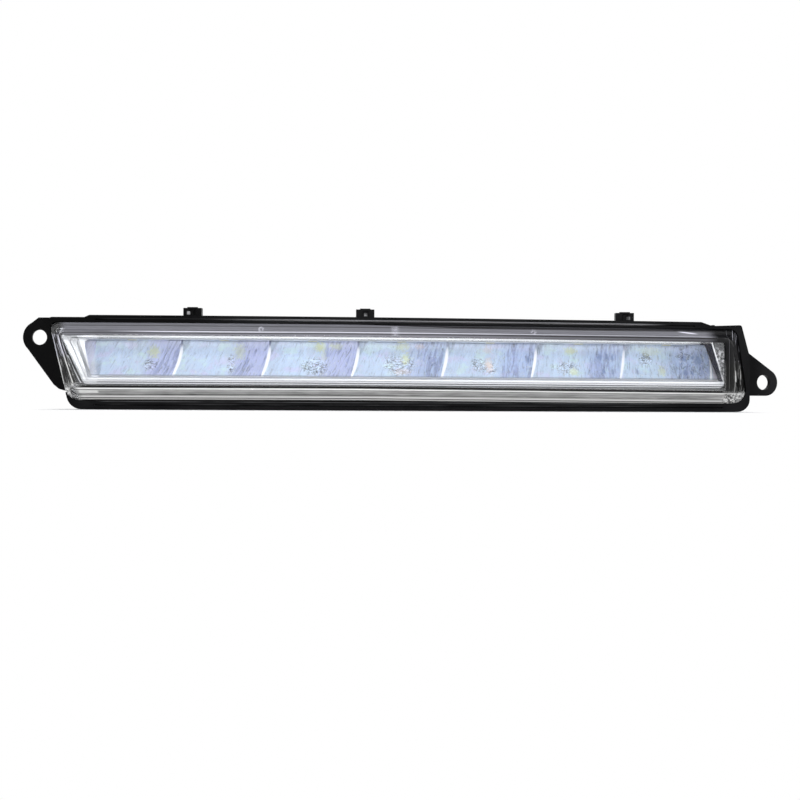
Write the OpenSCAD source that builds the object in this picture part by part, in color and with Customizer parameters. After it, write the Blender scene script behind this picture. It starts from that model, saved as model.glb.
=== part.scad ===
// Daytime running light for a large car bumper.
// A long, gently bowed lamp: black moulded housing, clear lens, bright bezel, seven fluted reflector cells.
// The origin is the centre of the left ear's hole on its mounting face. X runs along the lamp, Z is up,
// and the lens looks towards -Y. Depths (d) are measured back from the lens face, which is bowed in plan.

/* [Lamp body] */
// Length of the lens along its top edge
lens_w = 407; // [330:1:430]
// Height of the lens at its left end
lens_h = 46.1; // [40:0.1:50]
// Distance from the left ear hole to the lens's top left corner
lens_x = 6.3; // [6:0.1:9]
// Height of the lens's top edge above the left ear hole
lens_top = 8.7; // [8:0.1:9.5]
// Radius of the bow in plan
bow_r = 1500; // [1300:10:2500]
// Distance of the lens face in front of the left ear's mounting face, at mid length
face_y = 31; // [30:0.1:32]
// How much the top edge falls from left to right
top_fall = 2.8; // [0:0.1:4]

/* [Lens] */
// Wall of the clear lens
lens_t = 2; // [1.8:0.1:2.2]
// Width of the lens's sloped wall above the front face
wall_top = 5.9; // [5.5:0.1:6.5]
// Width of the lens's sloped wall below the front face
wall_bottom = 7.7; // [7:0.1:8.5]
// Slant of the face's left end
face_rake = 11.1; // [8:0.1:12]
// Depth from the lens face back to the front of its flange
flange_d = 10; // [9:0.1:11]
// Overhang of the lens flange outside its foot
flange_over = 2.2; // [2:0.1:2.6]
// Depth of the lens foot that stands in the groove
foot_h = 3; // [2.5:0.1:4]

/* [Housing] */
// Wall of the moulded housing
wall = 2.2; // [1.8:0.1:2.6]
// Depth of the housing's tray behind its rim plate
tray_d = 25.3; // [25:0.1:30]
// Width of the rim above the lens
rim_top = 4.4; // [3.5:0.1:5.5]
// Width of the rim below the lens
rim_bottom = 5.2; // [4:0.1:6.5]
// Width of the rim at the right end
rim_right = 3.3; // [3:0.1:6]
// Height of the seal bead in the groove
seal_h = 2.2; // [1.5:0.1:3]

/* [Ears and clips] */
// Bore of the two ear holes
ear_bore = 9; // [6:0.1:10]
// Radius of the ears round their holes
ear_r = 9.8; // [8.5:0.1:10.5]
// Thickness of the ears
ear_t = 3; // [2.5:0.1:4]
// Distance of the right ear hole past the lens's top right corner
ear_out = 18.6; // [17:0.1:21]
// Height of the right ear hole below the left one
ear_drop = 25; // [20:0.1:27]
// Angle by which the right ear is swept back
ear_sweep = 20; // [0:1:30]
// Width of a clip tab on the top edge
tab_w = 10.7; // [8:0.1:14]
// Height of a clip tab above the rim
tab_h = 5.1; // [3:0.1:8]

/* [Optics] */
// Number of reflector cells
cells = 7; // [4:1:9]
// Slant of the ridges between the cells
ridge_lean = 4; // [0:0.1:6]
// Width of the ridges' rounded crests
crest_w = 2; // [1:0.1:3]
// Depth of the cells' deepest line, behind the lens face
cell_d = 31; // [30:0.1:32]
// How far a cell's bottom comes forward of its top
cell_rise = 15.5; // [14:0.1:16]
// How far the ridges stand forward of the cells' middles
ridge_h = 6; // [4:0.1:6.3]
// Flutes across a cell
flutes = 12; // [6:1:14]
// Depth of a flute
flute_d = 0.35; // [0.1:0.05:0.6]
// Wall of the reflector
reflector_t = 2.2; // [1.6:0.1:2.4]
// Side of a light-emitting package
led_w = 5; // [3:0.1:6]
// Height of a light-emitting package
led_h = 1.3; // [0.8:0.1:1.6]
// Thickness of the two circuit boards
board_t = 1.6; // [1:0.1:2]
// Wall of the bezel
bezel_t = 1.5; // [1.2:0.1:2]

/* [Driver box] */
// Inner width of the driver box
box_w = 84; // [76:1:100]
// Inner height of the driver box
box_h = 31; // [29:0.5:34]
// Inner depth of the driver box
box_d = 18; // [16:0.5:22]
// Thickness of the driver box's cover
cover_t = 2.4; // [2:0.1:3]
// Thickness of the cover's gasket
gasket_t = 1.6; // [1.2:0.1:2]
// Width of the plug's cavity in the connector socket
plug_w = 13; // [10:0.5:15]
// Height of the plug's cavity in the connector socket
plug_h = 9; // [8:0.5:10]
// Depth of the plug's cavity
plug_d = 15; // [10:0.5:18]

/* [Hidden] */
LEDS = [for (i = [1:cells]) str("led_", i)];
$fn = 48;
bow_fn = 360;
gap = 0.3;
far = 100;
screw_r = 1.5;
head_r = 2.8;
head_h = 2;
boss_r = 3.2;
boss_bore = 9;
groove_wall = 1.6;
tray_over = 1.2;

// Middle of the lamp, about which it is bowed
mid_x = lens_x + lens_w / 2 + 4.8;
lens_bot = lens_top - lens_h;
// The height from which the top edge's fall is shared out, so that level lines fan out to the left
fan_z = lens_bot - rim_bottom;
fan = top_fall / (lens_w - 45) / (lens_h + rim_top + rim_bottom);
fan_x = lens_x + 24;

// Depths behind the lens face
lip_d = flange_d + lens_t + gap + 0.6;
foot_d = lip_d + foot_h;
seal_d = foot_d + 0.2;
floor_d = seal_d + seal_h;
plate_d = floor_d + wall;
rear_d = plate_d + tray_d;
back_d = rear_d + wall;

function sag(x) = bow_r - sqrt(bow_r * bow_r - (x - mid_x) * (x - mid_x));
function fanned(x, z) = z - (z - fan_z) * fan * (x - fan_x);
function placed(p, d) = [p.x, d - face_y + sag(p.x), fanned(p.x, p.y)];

// Unit vector, left-hand normal, turn by an angle
function unit(v) = v / norm(v);
function left_of(v) = [-v.y, v.x];
function turned(v, a) = [v.x * cos(a) - v.y * sin(a), v.x * sin(a) + v.y * cos(a)];
function crossing(p, u, q, v) =
    let (k = ((q.x - p.x) * v.y - (q.y - p.y) * v.x) / (u.x * v.y - u.y * v.x)) p + u * k;
function next_of(q, i) = q[(i + 1) % len(q)];
function last_of(q, i) = q[(i + len(q) - 1) % len(q)];

// A clockwise outline moved outwards by o on every side
function grown(q, o) = [for (i = [0:len(q) - 1])
    let (u = unit(q[i] - last_of(q, i)), v = unit(next_of(q, i) - q[i]))
    norm(u - v) < 0.001 ? q[i] + left_of(u) * o
                        : crossing(q[i] + left_of(u) * o, u, q[i] + left_of(v) * o, v)];

// The arc that rounds corner i of a clockwise outline
function corner(q, i, r, n) =
    let (u = unit(q[i] - last_of(q, i)), v = unit(next_of(q, i) - q[i]),
         turn = acos(min(1, max(-1, u * v))),
         hub = q[i] - u * r * tan(turn / 2) - left_of(u) * r)
    r < 0.05 ? [q[i]] : [for (k = [0:n]) hub + turned(left_of(u), -turn * k / n) * r];

// An outline with rounded corners, and with its sides split into the given numbers of parts
function rounded(q, r, n = 6, parts = []) = [for (i = [0:len(q) - 1])
    let (a = corner(q, i, r[i], n), b = corner(q, (i + 1) % len(q), r[(i + 1) % len(q)], n)[0],
         m = len(parts) == 0 ? 1 : parts[i], e = a[len(a) - 1])
    each concat(a, m < 2 ? [] : [for (k = [1:m - 1]) e + (b - e) * k / m])];

function mixed(p, q, t) = [for (i = [0:len(p) - 1]) p[i] * (1 - t) + q[i] * t];

// Screws that hold the reflector's shelf, and those that hold the heat sink
function spread(n, x0, x1) = [for (i = [0:n - 1]) x0 + (x1 - x0) * i / (n - 1)];
lug_xs = spread(4, lens_x + 52, lens_x + lens_w - 42);
sink_xs = spread(4, lens_x + 78, lens_x + lens_w - 68);

// Outline of the lens flange, clockwise from its top left corner
lens_q = [[lens_x, lens_top], [lens_x + lens_w, lens_top],
          [lens_x + lens_w + 7, lens_bot], [lens_x + 11.4, lens_bot]];
lens_r = [4, 5, 8, 10];
// Outline of the raised front face
face_top = lens_top - wall_top;
face_bot = lens_bot + wall_bottom;
face_q = [[lens_x + 5.2, face_top], [lens_x + lens_w - 3.5, face_top],
          [lens_x + lens_w - 2.2, face_bot], [lens_x + 5.2 + face_rake, face_bot]];
face_r = [5, 6, 5, 5];
// Outline of the bezel, of its front opening, of the window that it leaves over the cells, and of its apron
bezel_q = [[face_q[0].x + lens_t + 1.2, face_top - 2.2], [face_q[1].x - lens_t - 3.1, face_top - 2.2],
           [face_q[2].x - lens_t - 3.9, face_bot + 1.8], [face_q[3].x + lens_t + 4.6, face_bot + 1.8]];
bezel_r = [1.5, 2.5, 4, 2.5];
front_q = [[bezel_q[0].x + 1.4, face_top - 3], [bezel_q[1].x - 8.2, face_top - 3],
           [bezel_q[2].x - 0.9, face_bot + 2.8], [bezel_q[3].x + 0.8, face_bot + 2.8]];
front_r = [1.2, 1.5, 2, 2];
window_q = [[face_q[0].x + 16.3, face_top - 4.1], [face_q[1].x - 16, face_top - 4.1],
            [face_q[2].x - 9.3, face_bot + 7.05], [face_q[3].x + 9.6, face_bot + 7.05]];
window_r = [3, 1, 1, 1.5];
apron_q = [grown(lens_q, -4.8)[0], [bezel_q[1].x + 1.4, lens_top - 4.8],
           [bezel_q[2].x + 6, lens_bot + 4.8], grown(lens_q, -4.8)[3]];
apron_r = [1, 2, 3.5, 5];
window_top = window_q[0].y;
window_bot = window_q[2].y;

// Depths and heights of the optics
bezel_d = lens_t + gap + 0.4;
shelf_d = cell_d - cell_rise;
crest_h = 0.2;
window_d = shelf_d - ridge_h - crest_h - gap;
apron_d = lip_d - gap;
board_z = window_top + led_h + gap;
board_top = board_z + board_t;
led_d = cell_d - 8;
sink_d = plate_d + gap;
sink_t = 2;
sink_back = cell_d + flute_d + reflector_t + gap + sink_t;
cell_top = board_z - gap;
cell_bot = window_bot - 0.5;
lug_z = cell_bot - 3.8;
sink_screw_z = board_z - 10;
shelf_bot = lug_z - 3;

// Driver box
box_x = mid_x + 2;
box_z = -15;
back_y = back_d - face_y;
box_y = back_y + box_d;
port_y = back_y + box_d / 2;
board_y = port_y - 3.6;
cover_y = box_y + gasket_t;

// The space behind the surface at depth d of the bowed lamp
module behind(d) {
    translate([mid_x, d - face_y + bow_r, -far])
        cylinder(r = bow_r, h = 2 * far, $fn = bow_fn);
}

// A front-view outline carried straight back through the whole depth
module through(outline) {
    translate([0, far, 0])
        rotate([90, 0, 0])
            linear_extrude(height = 2 * far)
                polygon([for (p = outline) [p.x, fanned(p.x, p.y)]]);
}

// A bowed slab with a front-view outline, from depth d0 back to depth d1
module slab(outline, d0, d1) {
    difference() {
        intersection() {
            through(outline);
            behind(d0);
        }
        behind(d1);
    }
}

// A place on the lamp, with +Z of the piece pointing backwards and its +Y pointing down
module at(x, d, z) {
    translate(placed([x, z], d))
        rotate([-90, 0, 0])
            children();
}

// A rod or bore along the depth, from depth d0 back to depth d1
module rod(x, z, r, d0, d1) {
    at(x, d0, z)
        cylinder(r = r, h = d1 - d0);
}

// How far a flat seat of radius r stands off a bowed face at x
function seat_off(x, r) = 0.05 + r * abs(x - mid_x) / bow_r;

function box_outline(x0, x1, z0, z1) = [[x0, z1], [x1, z1], [x1, z0], [x0, z0]];
function lens_line(o) = rounded(grown(lens_q, o), [for (r = lens_r) max(0.3, r + o)]);

// Points of a skin over loops that are each given as [outline, depth]
function skin_points(loops) = [for (l = loops, p = l[0]) placed(p, l[1])];
// Triangles between m neighbouring loops of n points
function skin_sides(n, m, from = 0) = [for (j = [0:m - 2], i = [0:n - 1])
    let (a = from + j * n + i, b = from + j * n + (i + 1) % n) each [[a, b, a + n], [b, b + n, a + n]]];
// Triangles that close the last loop onto the first
function skin_seam(n, m) = [for (i = [0:n - 1])
    let (a = (m - 1) * n + i, b = (m - 1) * n + (i + 1) % n, c = i, d = (i + 1) % n)
    each [[a, b, c], [b, d, c]]];

// Numbers of parts along the top, right, bottom and left sides of a skin's loops, and round each corner
side_parts = [16, 3, 16, 3];
arc_parts = 5;
function ring(q, r) = rounded(q, r, arc_parts, side_parts);
function lens_ring(o) = ring(grown(lens_q, o), [for (r = lens_r) max(0.3, r + o)]);
function face_ring(o) = ring(grown(face_q, o), [for (r = face_r) max(0.3, r + o)]);

// Triangles that fill a loop between its top and bottom rows, starting at point number from
function skin_lid(from, front) =
    let (row = 2 * (arc_parts + 1) + side_parts[0] - 1, right = side_parts[1] - 1,
         left = side_parts[3] - 1, low = row + right,
         tris = concat(
             [for (i = [0:row - 2]) let (a = i, b = i + 1, c = low + row - 2 - i, d = low + row - 1 - i)
                 each [[a, b, c], [a, c, d]]],
             [for (k = [0:right - 1]) [row - 1, row + k, row + k + 1]],
             [for (k = [0:left - 1]) [0, low + row - 1 + k, low + row + k]]))
    [for (t = tris) front ? [from + t[0], from + t[1], from + t[2]]
                          : [from + t[0], from + t[2], from + t[1]]];

// Clear outer lens: foot, flange, sloped wall and raised face in one moulding
module outer_lens() {
    t = lens_t;
    function wall_ring(s) = mixed(lens_ring(-3.4), face_ring(0.2), s);
    function inner_ring(s) = mixed(lens_ring(-3.4 - t), face_ring(0.2 - t), s);
    outer = [[lens_ring(-flange_over), foot_d],
             [lens_ring(-flange_over), lip_d - gap],
             [lens_ring(0), lip_d - gap],
             [lens_ring(0), flange_d + 0.6],
             [lens_ring(-0.6), flange_d],
             [lens_ring(-3.2), flange_d - 0.7],
             [wall_ring(0.3), flange_d - 2.6],
             [wall_ring(0.85), 2],
             [face_ring(0), 0.7],
             [face_ring(-1.2), 0.1],
             [face_ring(-4), 0]];
    inner = [[face_ring(-4), t],
             [face_ring(-t - 0.2), t + 0.15],
             [inner_ring(0.85), t + 0.9],
             [inner_ring(0.3), flange_d - 0.9],
             [lens_ring(-flange_over - t), flange_d - 0.4 + t],
             [lens_ring(-flange_over - t), foot_d]];
    n = len(outer[0][0]);
    m = len(outer);
    k = len(inner);
    color([0.86, 0.88, 0.9, 0.4])
        polyhedron(points = skin_points(concat(outer, inner)),
                   faces = concat(skin_sides(n, m), skin_lid((m - 1) * n, true),
                                  skin_lid(m * n, false), skin_sides(n, k, m * n), skin_seam(n, m + k)),
                   convexity = 6);
}

// Soft seal bead that lies in the housing's groove behind the lens foot
module lens_seal() {
    color("dimgray")
        difference() {
            slab(lens_line(-flange_over + gap - 0.05), seal_d, floor_d);
            through(lens_line(-flange_over - lens_t - gap + 0.05));
        }
}

// Bright window frame: front rim, stepped sill, slanted ends, and a skirt that flares into a stepped apron
module bezel() {
    t = bezel_t;
    function rim(o) = ring(grown(bezel_q, o), [for (r = bezel_r) max(0.3, r + o)]);
    front = ring(front_q, front_r);
    window = ring(window_q, window_r);
    function sill(s) = mixed(front, window, s);
    apron = ring(apron_q, apron_r);
    loops = [[apron, apron_d],
             [apron, apron_d - 0.8],
             [mixed(apron, rim(0), 0.4), apron_d - 1],
             [mixed(apron, rim(0), 0.45), apron_d - 1.5],
             [rim(0.4), apron_d - 1.7],
             [rim(0), apron_d - 2.4],
             [rim(0), bezel_d + 0.5],
             [rim(-0.4), bezel_d],
             [mixed(rim(-0.4), front, 0.6), bezel_d],
             [front, bezel_d + 0.5],
             [sill(0.3), bezel_d + 1.2],
             [sill(0.34), bezel_d + 2.1],
             [sill(0.64), bezel_d + 2.9],
             [sill(0.68), bezel_d + 3.9],
             [window, window_d - 0.4],
             [window, window_d],
             [sill(0.6), bezel_d + 2.8 + 1.6 * t],
             [mixed(rim(-t), sill(0.3), 0.6), bezel_d + 1 + 1.4 * t],
             [rim(-t), bezel_d + t],
             [rim(-t), apron_d]];
    n = len(front);
    m = len(loops);
    color("lightgray")
        polyhedron(points = skin_points(loops),
                   faces = concat(skin_sides(n, m), skin_seam(n, m)),
                   convexity = 8);
}

// Edges of the cells: place of border number i at share v of the way down
cell_left = window_q[0].x - 4.4;
cell_right = window_q[1].x + 4;
first_border = window_q[0].x + 4.4;
cell_pitch = (cell_right + 2.2 - first_border) / cells;
function border_x(i, v) =
    i == 0 ? cell_left + (window_q[3].x - window_q[0].x) * v
    : i == cells ? cell_right + 1.6 * sin(180 * v)
    : first_border + cell_pitch * i - ridge_lean * pow(v, 2.2);
function cell_x(i) = (border_x(i, 0.5) + border_x(i + 1, 0.5)) / 2;

// One piece of parabolic cells with fluted faces, crested ridges between them, a plate at the right end
// and a shelf along the bottom. A column holds its place across, its place over a cell and its extra depth.
module reflector() {
    front_rows = 8;
    back_shares = [0, 0.35, 0.7, 1];
    end_plate = 6;
    shares = [for (j = [0:2 * flutes]) j / (2 * flutes)];
    function inside(i, v, c) =
        let (a = border_x(i, v) + crest_w / 2, b = border_x(i + 1, v) - crest_w / 2) a + (b - a) * c;
    columns = concat([for (i = [0:cells - 1]) each concat(
                          [for (j = [0:2 * flutes]) [i, shares[j], flute_d * (j % 2), 0]],
                          [[i, 1, -crest_h, crest_w / 2]])],
                     [[cells - 1, 1, 0, crest_w], [cells - 1, 1, 0, end_plate]]);
    n = len(columns);
    function down(v) = cell_top + (cell_bot - cell_top) * v;
    function across(c, v) = inside(c[0], v, c[1]) + c[3];
    function bowl(c, v) = cell_d - cell_rise * v * v - ridge_h * pow(2 * c[1] - 1, 2);
    rows = concat(
        [for (k = [0:front_rows]) let (v = k / front_rows)
            [for (c = columns) placed([across(c, v), down(v)], bowl(c, v) + c[2])]],
        [[for (c = columns) placed([across(c, 1), cell_bot - 0.5], shelf_d)],
         [for (c = columns) placed([across(c, 1), shelf_bot], shelf_d)],
         [for (c = columns) placed([across(c, 1), shelf_bot], shelf_d + reflector_t)],
         [for (c = columns) placed([across(c, 1), cell_bot - 0.5], shelf_d + reflector_t)]],
        [for (k = [len(back_shares) - 1:-1:0]) let (v = back_shares[k])
            [for (c = columns) placed([across(c, v), down(v)], bowl(c, v) + flute_d + reflector_t)]]);
    m = len(rows);
    sides = [for (r = [0:m - 1], i = [0:n - 2])
        let (a = r * n + i, b = a + 1, c = ((r + 1) % m) * n + i, d = c + 1)
        each [[a, b, c], [b, d, c]]];
    left = [for (r = [0:m - 1]) r * n];
    right = [for (r = [m - 1:-1:0]) r * n + n - 1];
    color("lightsteelblue")
        difference() {
            polyhedron(points = [for (row = rows) each row],
                       faces = concat(sides, [left, right]), convexity = 10);
            for (x = lug_xs)
                rod(x, lug_z, screw_r + 0.25, shelf_d - 2, shelf_d + reflector_t + 2);
        }
}

// Pan-head screw that points forwards or backwards from its seat, with a cross recess
module screw(length, r = screw_r, head = head_r, rise = head_h) {
    difference() {
        union() {
            cylinder(r = r, h = length);
            translate([0, 0, -rise * 0.6])
                cylinder(r = head, h = rise * 0.6);
            translate([0, 0, -rise])
                cylinder(r1 = head * 0.72, r2 = head, h = rise * 0.4);
        }
        for (a = [0, 90])
            rotate([0, 0, a])
                translate([-head * 0.6, -head * 0.14, -rise - 1])
                    cube([head * 1.2, head * 0.28, 1 + rise * 0.55]);
    }
}

// Outline of the housing's rim, clockwise from its top left corner
left_slope = 11.4 / lens_h;
rim_z = lens_top + rim_top;
rim_q = [[lens_x + 0.2 - (rim_top - 1.3) * left_slope, rim_z - 1.3], [lens_x + 21.7, rim_z - 1.3],
         [lens_x + 24.7, rim_z], [lens_x + lens_w - 21.3, rim_z],
         [lens_x + lens_w - 14.8, rim_z - 2.3], [lens_x + lens_w + rim_right - 0.3, rim_z - 1.5],
         [lens_x + lens_w + rim_right + 5, lens_top - 17.7],
         [lens_x + lens_w + rim_right + 4.8, fan_z], [lens_x + 11.6 + rim_bottom * left_slope, fan_z]];
rim_r = [2, 0, 0, 0, 0, 1.5, 6, 7.5, 9];

// Left ear: a flat plate square to the lamp, round its hole and widening into the rim
module ear_left() {
    up = 132;
    down = 216;
    inside = ear_r * 0.985;
    rotate([90, 0, 0])
        linear_extrude(height = ear_t)
            union() {
                circle(r = ear_r);
                polygon([inside * [cos(up), sin(up)],
                         [-ear_r * 0.05, rim_z - 1.3], [lens_x + 12, rim_z - 1.3],
                         [lens_x + 16, lens_bot + 4], [lens_x + 8.4, lens_bot + 5.9],
                         [lens_x + 5.4, lens_bot + 6.8], [lens_x + 2.3, lens_bot + 9.3],
                         inside * [cos(down), sin(down)]]);
            }
}

// The right ear's own frame: its root on the rim, turned back by the sweep, with the hole at (ear_reach, 0)
ear_root = lens_x + lens_w + 7;
ear_reach = (lens_x + lens_w + ear_out - ear_root) / cos(ear_sweep);
ear_root_y = -1;
module swept() {
    translate([ear_root, ear_root_y, -ear_drop])
        rotate([0, 0, ear_sweep])
            children();
}

module ear_right() {
    r = ear_r - 1.8;
    tip = ear_reach + 1.4;
    up = 59;
    swept()
        rotate([90, 0, 0])
            translate([0, 0, -ear_t])
                linear_extrude(height = ear_t)
                    union() {
                        translate([tip, 0])
                            circle(r = r);
                        polygon([[-2, 17], [2, 17.4], [tip + r * cos(up), r * sin(up)],
                                 [tip, 0], [tip, -r], [-2, -r]]);
                    }
}

// Clip tab on the top edge: two side posts, a raised middle and a window with a small catch in it
module clip_tab(x) {
    z = rim_z - 3;
    top = 3 + tab_h;
    difference() {
        at(x, lip_d - 1, z)
            rotate([0, 0, 180])
                translate([-tab_w / 2, 0, 0]) {
                    cube([tab_w, top - 0.5, 3]);
                    translate([tab_w * 0.22, 0, 0])
                        cube([tab_w * 0.56, top, 3]);
                    cube([1.4, top - 0.5, 7]);
                    translate([tab_w - 1.4, 0, 0])
                        cube([1.4, top - 0.5, 7]);
                }
        at(x, lip_d - 2, z)
            rotate([0, 0, 180])
                translate([-2.2, 3.4, 0])
                    cube([3.6, top - 4.6, 2.6]);
    }
    at(x, lip_d - 0.8, z)
        rotate([0, 0, 180])
            translate([-0.6, 3.2, 0])
                cube([1.5, top - 5, 1.6]);
}
tab_xs = [lens_x + 85.9, lens_x + 187.6, lens_x + lens_w - 66.7];

// Gussets behind the rim plate that stiffen it against the tray
module gussets() {
    depth = 9;
    for (x = spread(12, lens_x + 30, lens_x + lens_w - 12)) {
        slab(box_outline(x - 0.8, x + 0.8, lens_top, rim_z - 1.2), plate_d - 0.5, plate_d + depth);
        slab(box_outline(x - 0.8, x + 0.8, fan_z + 0.4, lens_bot), plate_d - 0.5, plate_d + depth);
    }
}

module rounded_box(w, h, r) {
    translate([-w / 2, -h / 2 + r])
        square([w, h - 2 * r]);
    translate([-w / 2 + r, -h / 2])
        square([w - 2 * r, h]);
    for (x = [-1, 1], y = [-1, 1])
        translate([x * (w / 2 - r), y * (h / 2 - r)])
            circle(r = r);
}

// Places of the four screws at the corners of the driver box
module at_corners() {
    for (x = [-1, 1], y = [-1, 1])
        translate([x * (box_w / 2 + wall / 2 + 1.6), y * (box_h / 2 - 1)])
            children();
}

// Outline of the driver box with its screw bosses, grown by o
module box_shape(o) {
    rounded_box(box_w + 2 * wall + 2 * o, box_h + 2 * wall + 2 * o, 3 + wall + o);
    at_corners()
        circle(r = 4 + o);
}

// Something extruded backwards from the plane y on the driver box's axes, with its +Y pointing down
module on_box(y, h) {
    translate([box_x, y, box_z])
        rotate([-90, 0, 0])
            linear_extrude(height = h)
                children();
}

board_w = box_w - 6;
board_h = box_h - 4;
module at_board_screws() {
    for (x = [-1, 1], y = [-1, 1])
        translate([x * (board_w / 2 - 4), y * (board_h / 2 - 4)])
            children();
}

lead_xs = [box_x - 6.5, box_x + 0.5];
lead_z = box_z + box_h / 2 - 3.5;
vent_x = lens_x + lens_w - 83;
vent_z = -15;
vent_bore = 3;
neck_r = 5;
port_z = box_z;
port_x = box_x - box_w / 2 - wall;

// Black moulded housing: rim and seal groove, tray, driver box, bosses, ears, clip tabs and gussets
module housing() {
    rim = rounded(rim_q, rim_r);
    color([0.06, 0.06, 0.07])
        difference() {
            union() {
                slab(rim, flange_d - 1, plate_d);
                slab(lens_line(tray_over), plate_d - 0.5, back_d);
                ear_left();
                ear_right();
                for (x = tab_xs)
                    clip_tab(x);
                gussets();
                on_box(back_y - 1, box_d + 1)
                    box_shape(0);
                rod(vent_x, vent_z, vent_bore + 2.4, rear_d + 1, back_d + 4);
            }
            // Recess for the lens flange, the groove for its foot, and the space inside the tray
            intersection() {
                through(lens_line(gap));
                translate([-far, -far, -far])
                    cube([lens_w + 3 * far, far, 2 * far]);
                difference() {
                    translate([-far, -far, -far])
                        cube([lens_w + 3 * far, 2 * far, 2 * far]);
                    behind(lip_d);
                }
            }
            difference() {
                slab(lens_line(-flange_over + gap), lip_d - 1, floor_d);
                through(lens_line(-flange_over - lens_t - gap));
            }
            slab(lens_line(-flange_over - lens_t - gap - groove_wall), flange_d - 4, rear_d);
            slab(lens_line(tray_over - wall), plate_d, rear_d);
            // Shadow grooves along the front of the rim
            slab(box_outline(lens_x + 28, lens_x + lens_w - 25, rim_z - 2.9, rim_z - 2.2),
                 flange_d - 4, flange_d + 1.5);
            slab(box_outline(lens_x + 28, lens_x + lens_w - 8, fan_z + 2.2, fan_z + 2.9),
                 flange_d - 4, flange_d + 1.5);
            // Ear bores
            translate([0, ear_t, 0])
                rotate([90, 0, 0])
                    cylinder(d = ear_bore, h = 3 * ear_t);
            swept()
                translate([ear_reach, 2 * ear_t, 0])
                    rotate([90, 0, 0])
                        cylinder(d = ear_bore, h = 3 * ear_t);
            // Driver box, its screw bores, port, lead hole and vent
            on_box(back_y + 0.8, box_d + 1)
                difference() {
                    rounded_box(box_w, box_h, 3);
                    at_corners()
                        circle(r = 3.4);
                }
            on_box(box_y - 10, 20)
                at_corners()
                    circle(r = screw_r + 0.05);
            translate([port_x - 1, port_y, port_z])
                rotate([0, 90, 0])
                    cylinder(r = neck_r + 0.1, h = wall + 2);
            translate([lead_xs[0] - 2, back_y - 2 * wall, lead_z - 2])
                cube([lead_xs[1] - lead_xs[0] + 4, 3 * wall, 4]);
            rod(vent_x, vent_z, vent_bore, rear_d - 2, back_d + 10);
        }
    color([0.06, 0.06, 0.07]) {
        // Bosses inside the tray and posts inside the driver box
        for (x = lug_xs)
            boss(x, lug_z, shelf_d + reflector_t + seat_off(x, boss_r));
        for (x = sink_xs)
            boss(x, sink_screw_z, sink_back + seat_off(x, boss_r));
        difference() {
            on_box(back_y + 0.3, board_y - back_y - 0.3)
                at_board_screws()
                    circle(r = 3);
            on_box(back_y + 1, board_y - back_y + 1)
                at_board_screws()
                    circle(r = screw_r + 0.05);
        }
    }
}

// Boss that stands forward from the rear wall to depth d, with a bore for a screw
module boss(x, z, d) {
    difference() {
        rod(x, z, boss_r, d, rear_d + 0.5);
        rod(x, z, screw_r + 0.05, d - 1, d + boss_bore);
    }
}

module reflector_screws() {
    color("silver")
        for (x = lug_xs)
            at(x, shelf_d - seat_off(x, head_r), lug_z)
                screw(boss_bore);
}

// Board that lies over the cells, bowed like the lamp
module led_board() {
    color("darkgreen")
        slab(box_outline(border_x(0, 0) + 3, border_x(cells, 0) - 2, board_z, board_top), led_d - 5.5,
             sink_back - sink_t - gap);
}

// One light-emitting package under the board, facing down into cell i
module led(i) {
    h = led_h;
    x = cell_x(i);
    color("khaki")
        at(x, led_d - led_w / 2, board_z - 0.02)
            translate([-led_w / 2, 0, 0])
                difference() {
                    cube([led_w, h, led_w]);
                    translate([led_w / 2, h - 0.25, led_w / 2])
                        rotate([-90, 0, 0])
                            cylinder(r1 = led_w * 0.36, r2 = led_w * 0.42, h = 1);
                }
}

// Aluminium angle over the board: a level leg with three long fins, and an upright leg with the screw holes
module heat_sink() {
    x0 = border_x(0, 0) + 5;
    x1 = border_x(cells, 0) - 4;
    upright_z = sink_screw_z - 6;
    fin = 3.4;
    color("darkgray")
        difference() {
            union() {
                difference() {
                    slab(box_outline(x0, x1, upright_z, board_top + sink_t), sink_d, sink_back);
                    slab(box_outline(x0 - 1, x1 + 1, upright_z - 1, board_top), sink_d - 1,
                         sink_back - sink_t);
                }
                for (d = [sink_d + 1.5, (sink_d + sink_back) / 2 - 0.6, sink_back - 3.2])
                    slab(box_outline(x0 + 0.5, x1 - 0.5, board_top + sink_t - 0.2,
                                     board_top + sink_t + fin), d, d + 1.2);
            }
            for (x = sink_xs)
                rod(x, sink_screw_z, screw_r + 0.25, sink_back - 2 * sink_t, sink_back + sink_t);
            slab(box_outline(lead_xs[0] - 4, lead_xs[1] + 4, board_top - 0.5, board_top + 9),
                 sink_back - 7, sink_back + 1);
        }
}

module heat_sink_screws() {
    color("silver")
        for (x = sink_xs)
            at(x, sink_back - sink_t - seat_off(x, head_r), sink_screw_z)
                screw(boss_bore);
}

// Driver board in the box, with its screw holes and the holes for the connector's pins
module driver_board() {
    color("darkgreen")
        on_box(board_y, board_t)
            difference() {
                rounded_box(board_w, board_h, 2);
                at_board_screws()
                    circle(r = screw_r + 0.25);
                at_pins()
                    circle(r = pin_r + 0.1);
            }
}
pin_r = 0.6;
pin_pitch = 5;
pin_reach = 8;
module at_pins() {
    for (y = [-1, 1])
        translate([-box_w / 2 + pin_reach, y * pin_pitch / 2])
            children();
}

board_back = board_y + board_t;
module control_chip() {
    leg = 0.4;
    translate([box_x + 4, board_back, box_z + 2])
        rotate([-90, 0, 0]) {
            color("black")
                translate([-5, -5, 0.1])
                    cube([10, 10, 1.6]);
            color("silver")
                for (a = [0, 90, 180, 270], k = [-3.5:1:3.5])
                    rotate([0, 0, a])
                        translate([k - leg / 2, 4.9, 0])
                            cube([leg, 1.3, 0.4]);
        }
}

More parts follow.
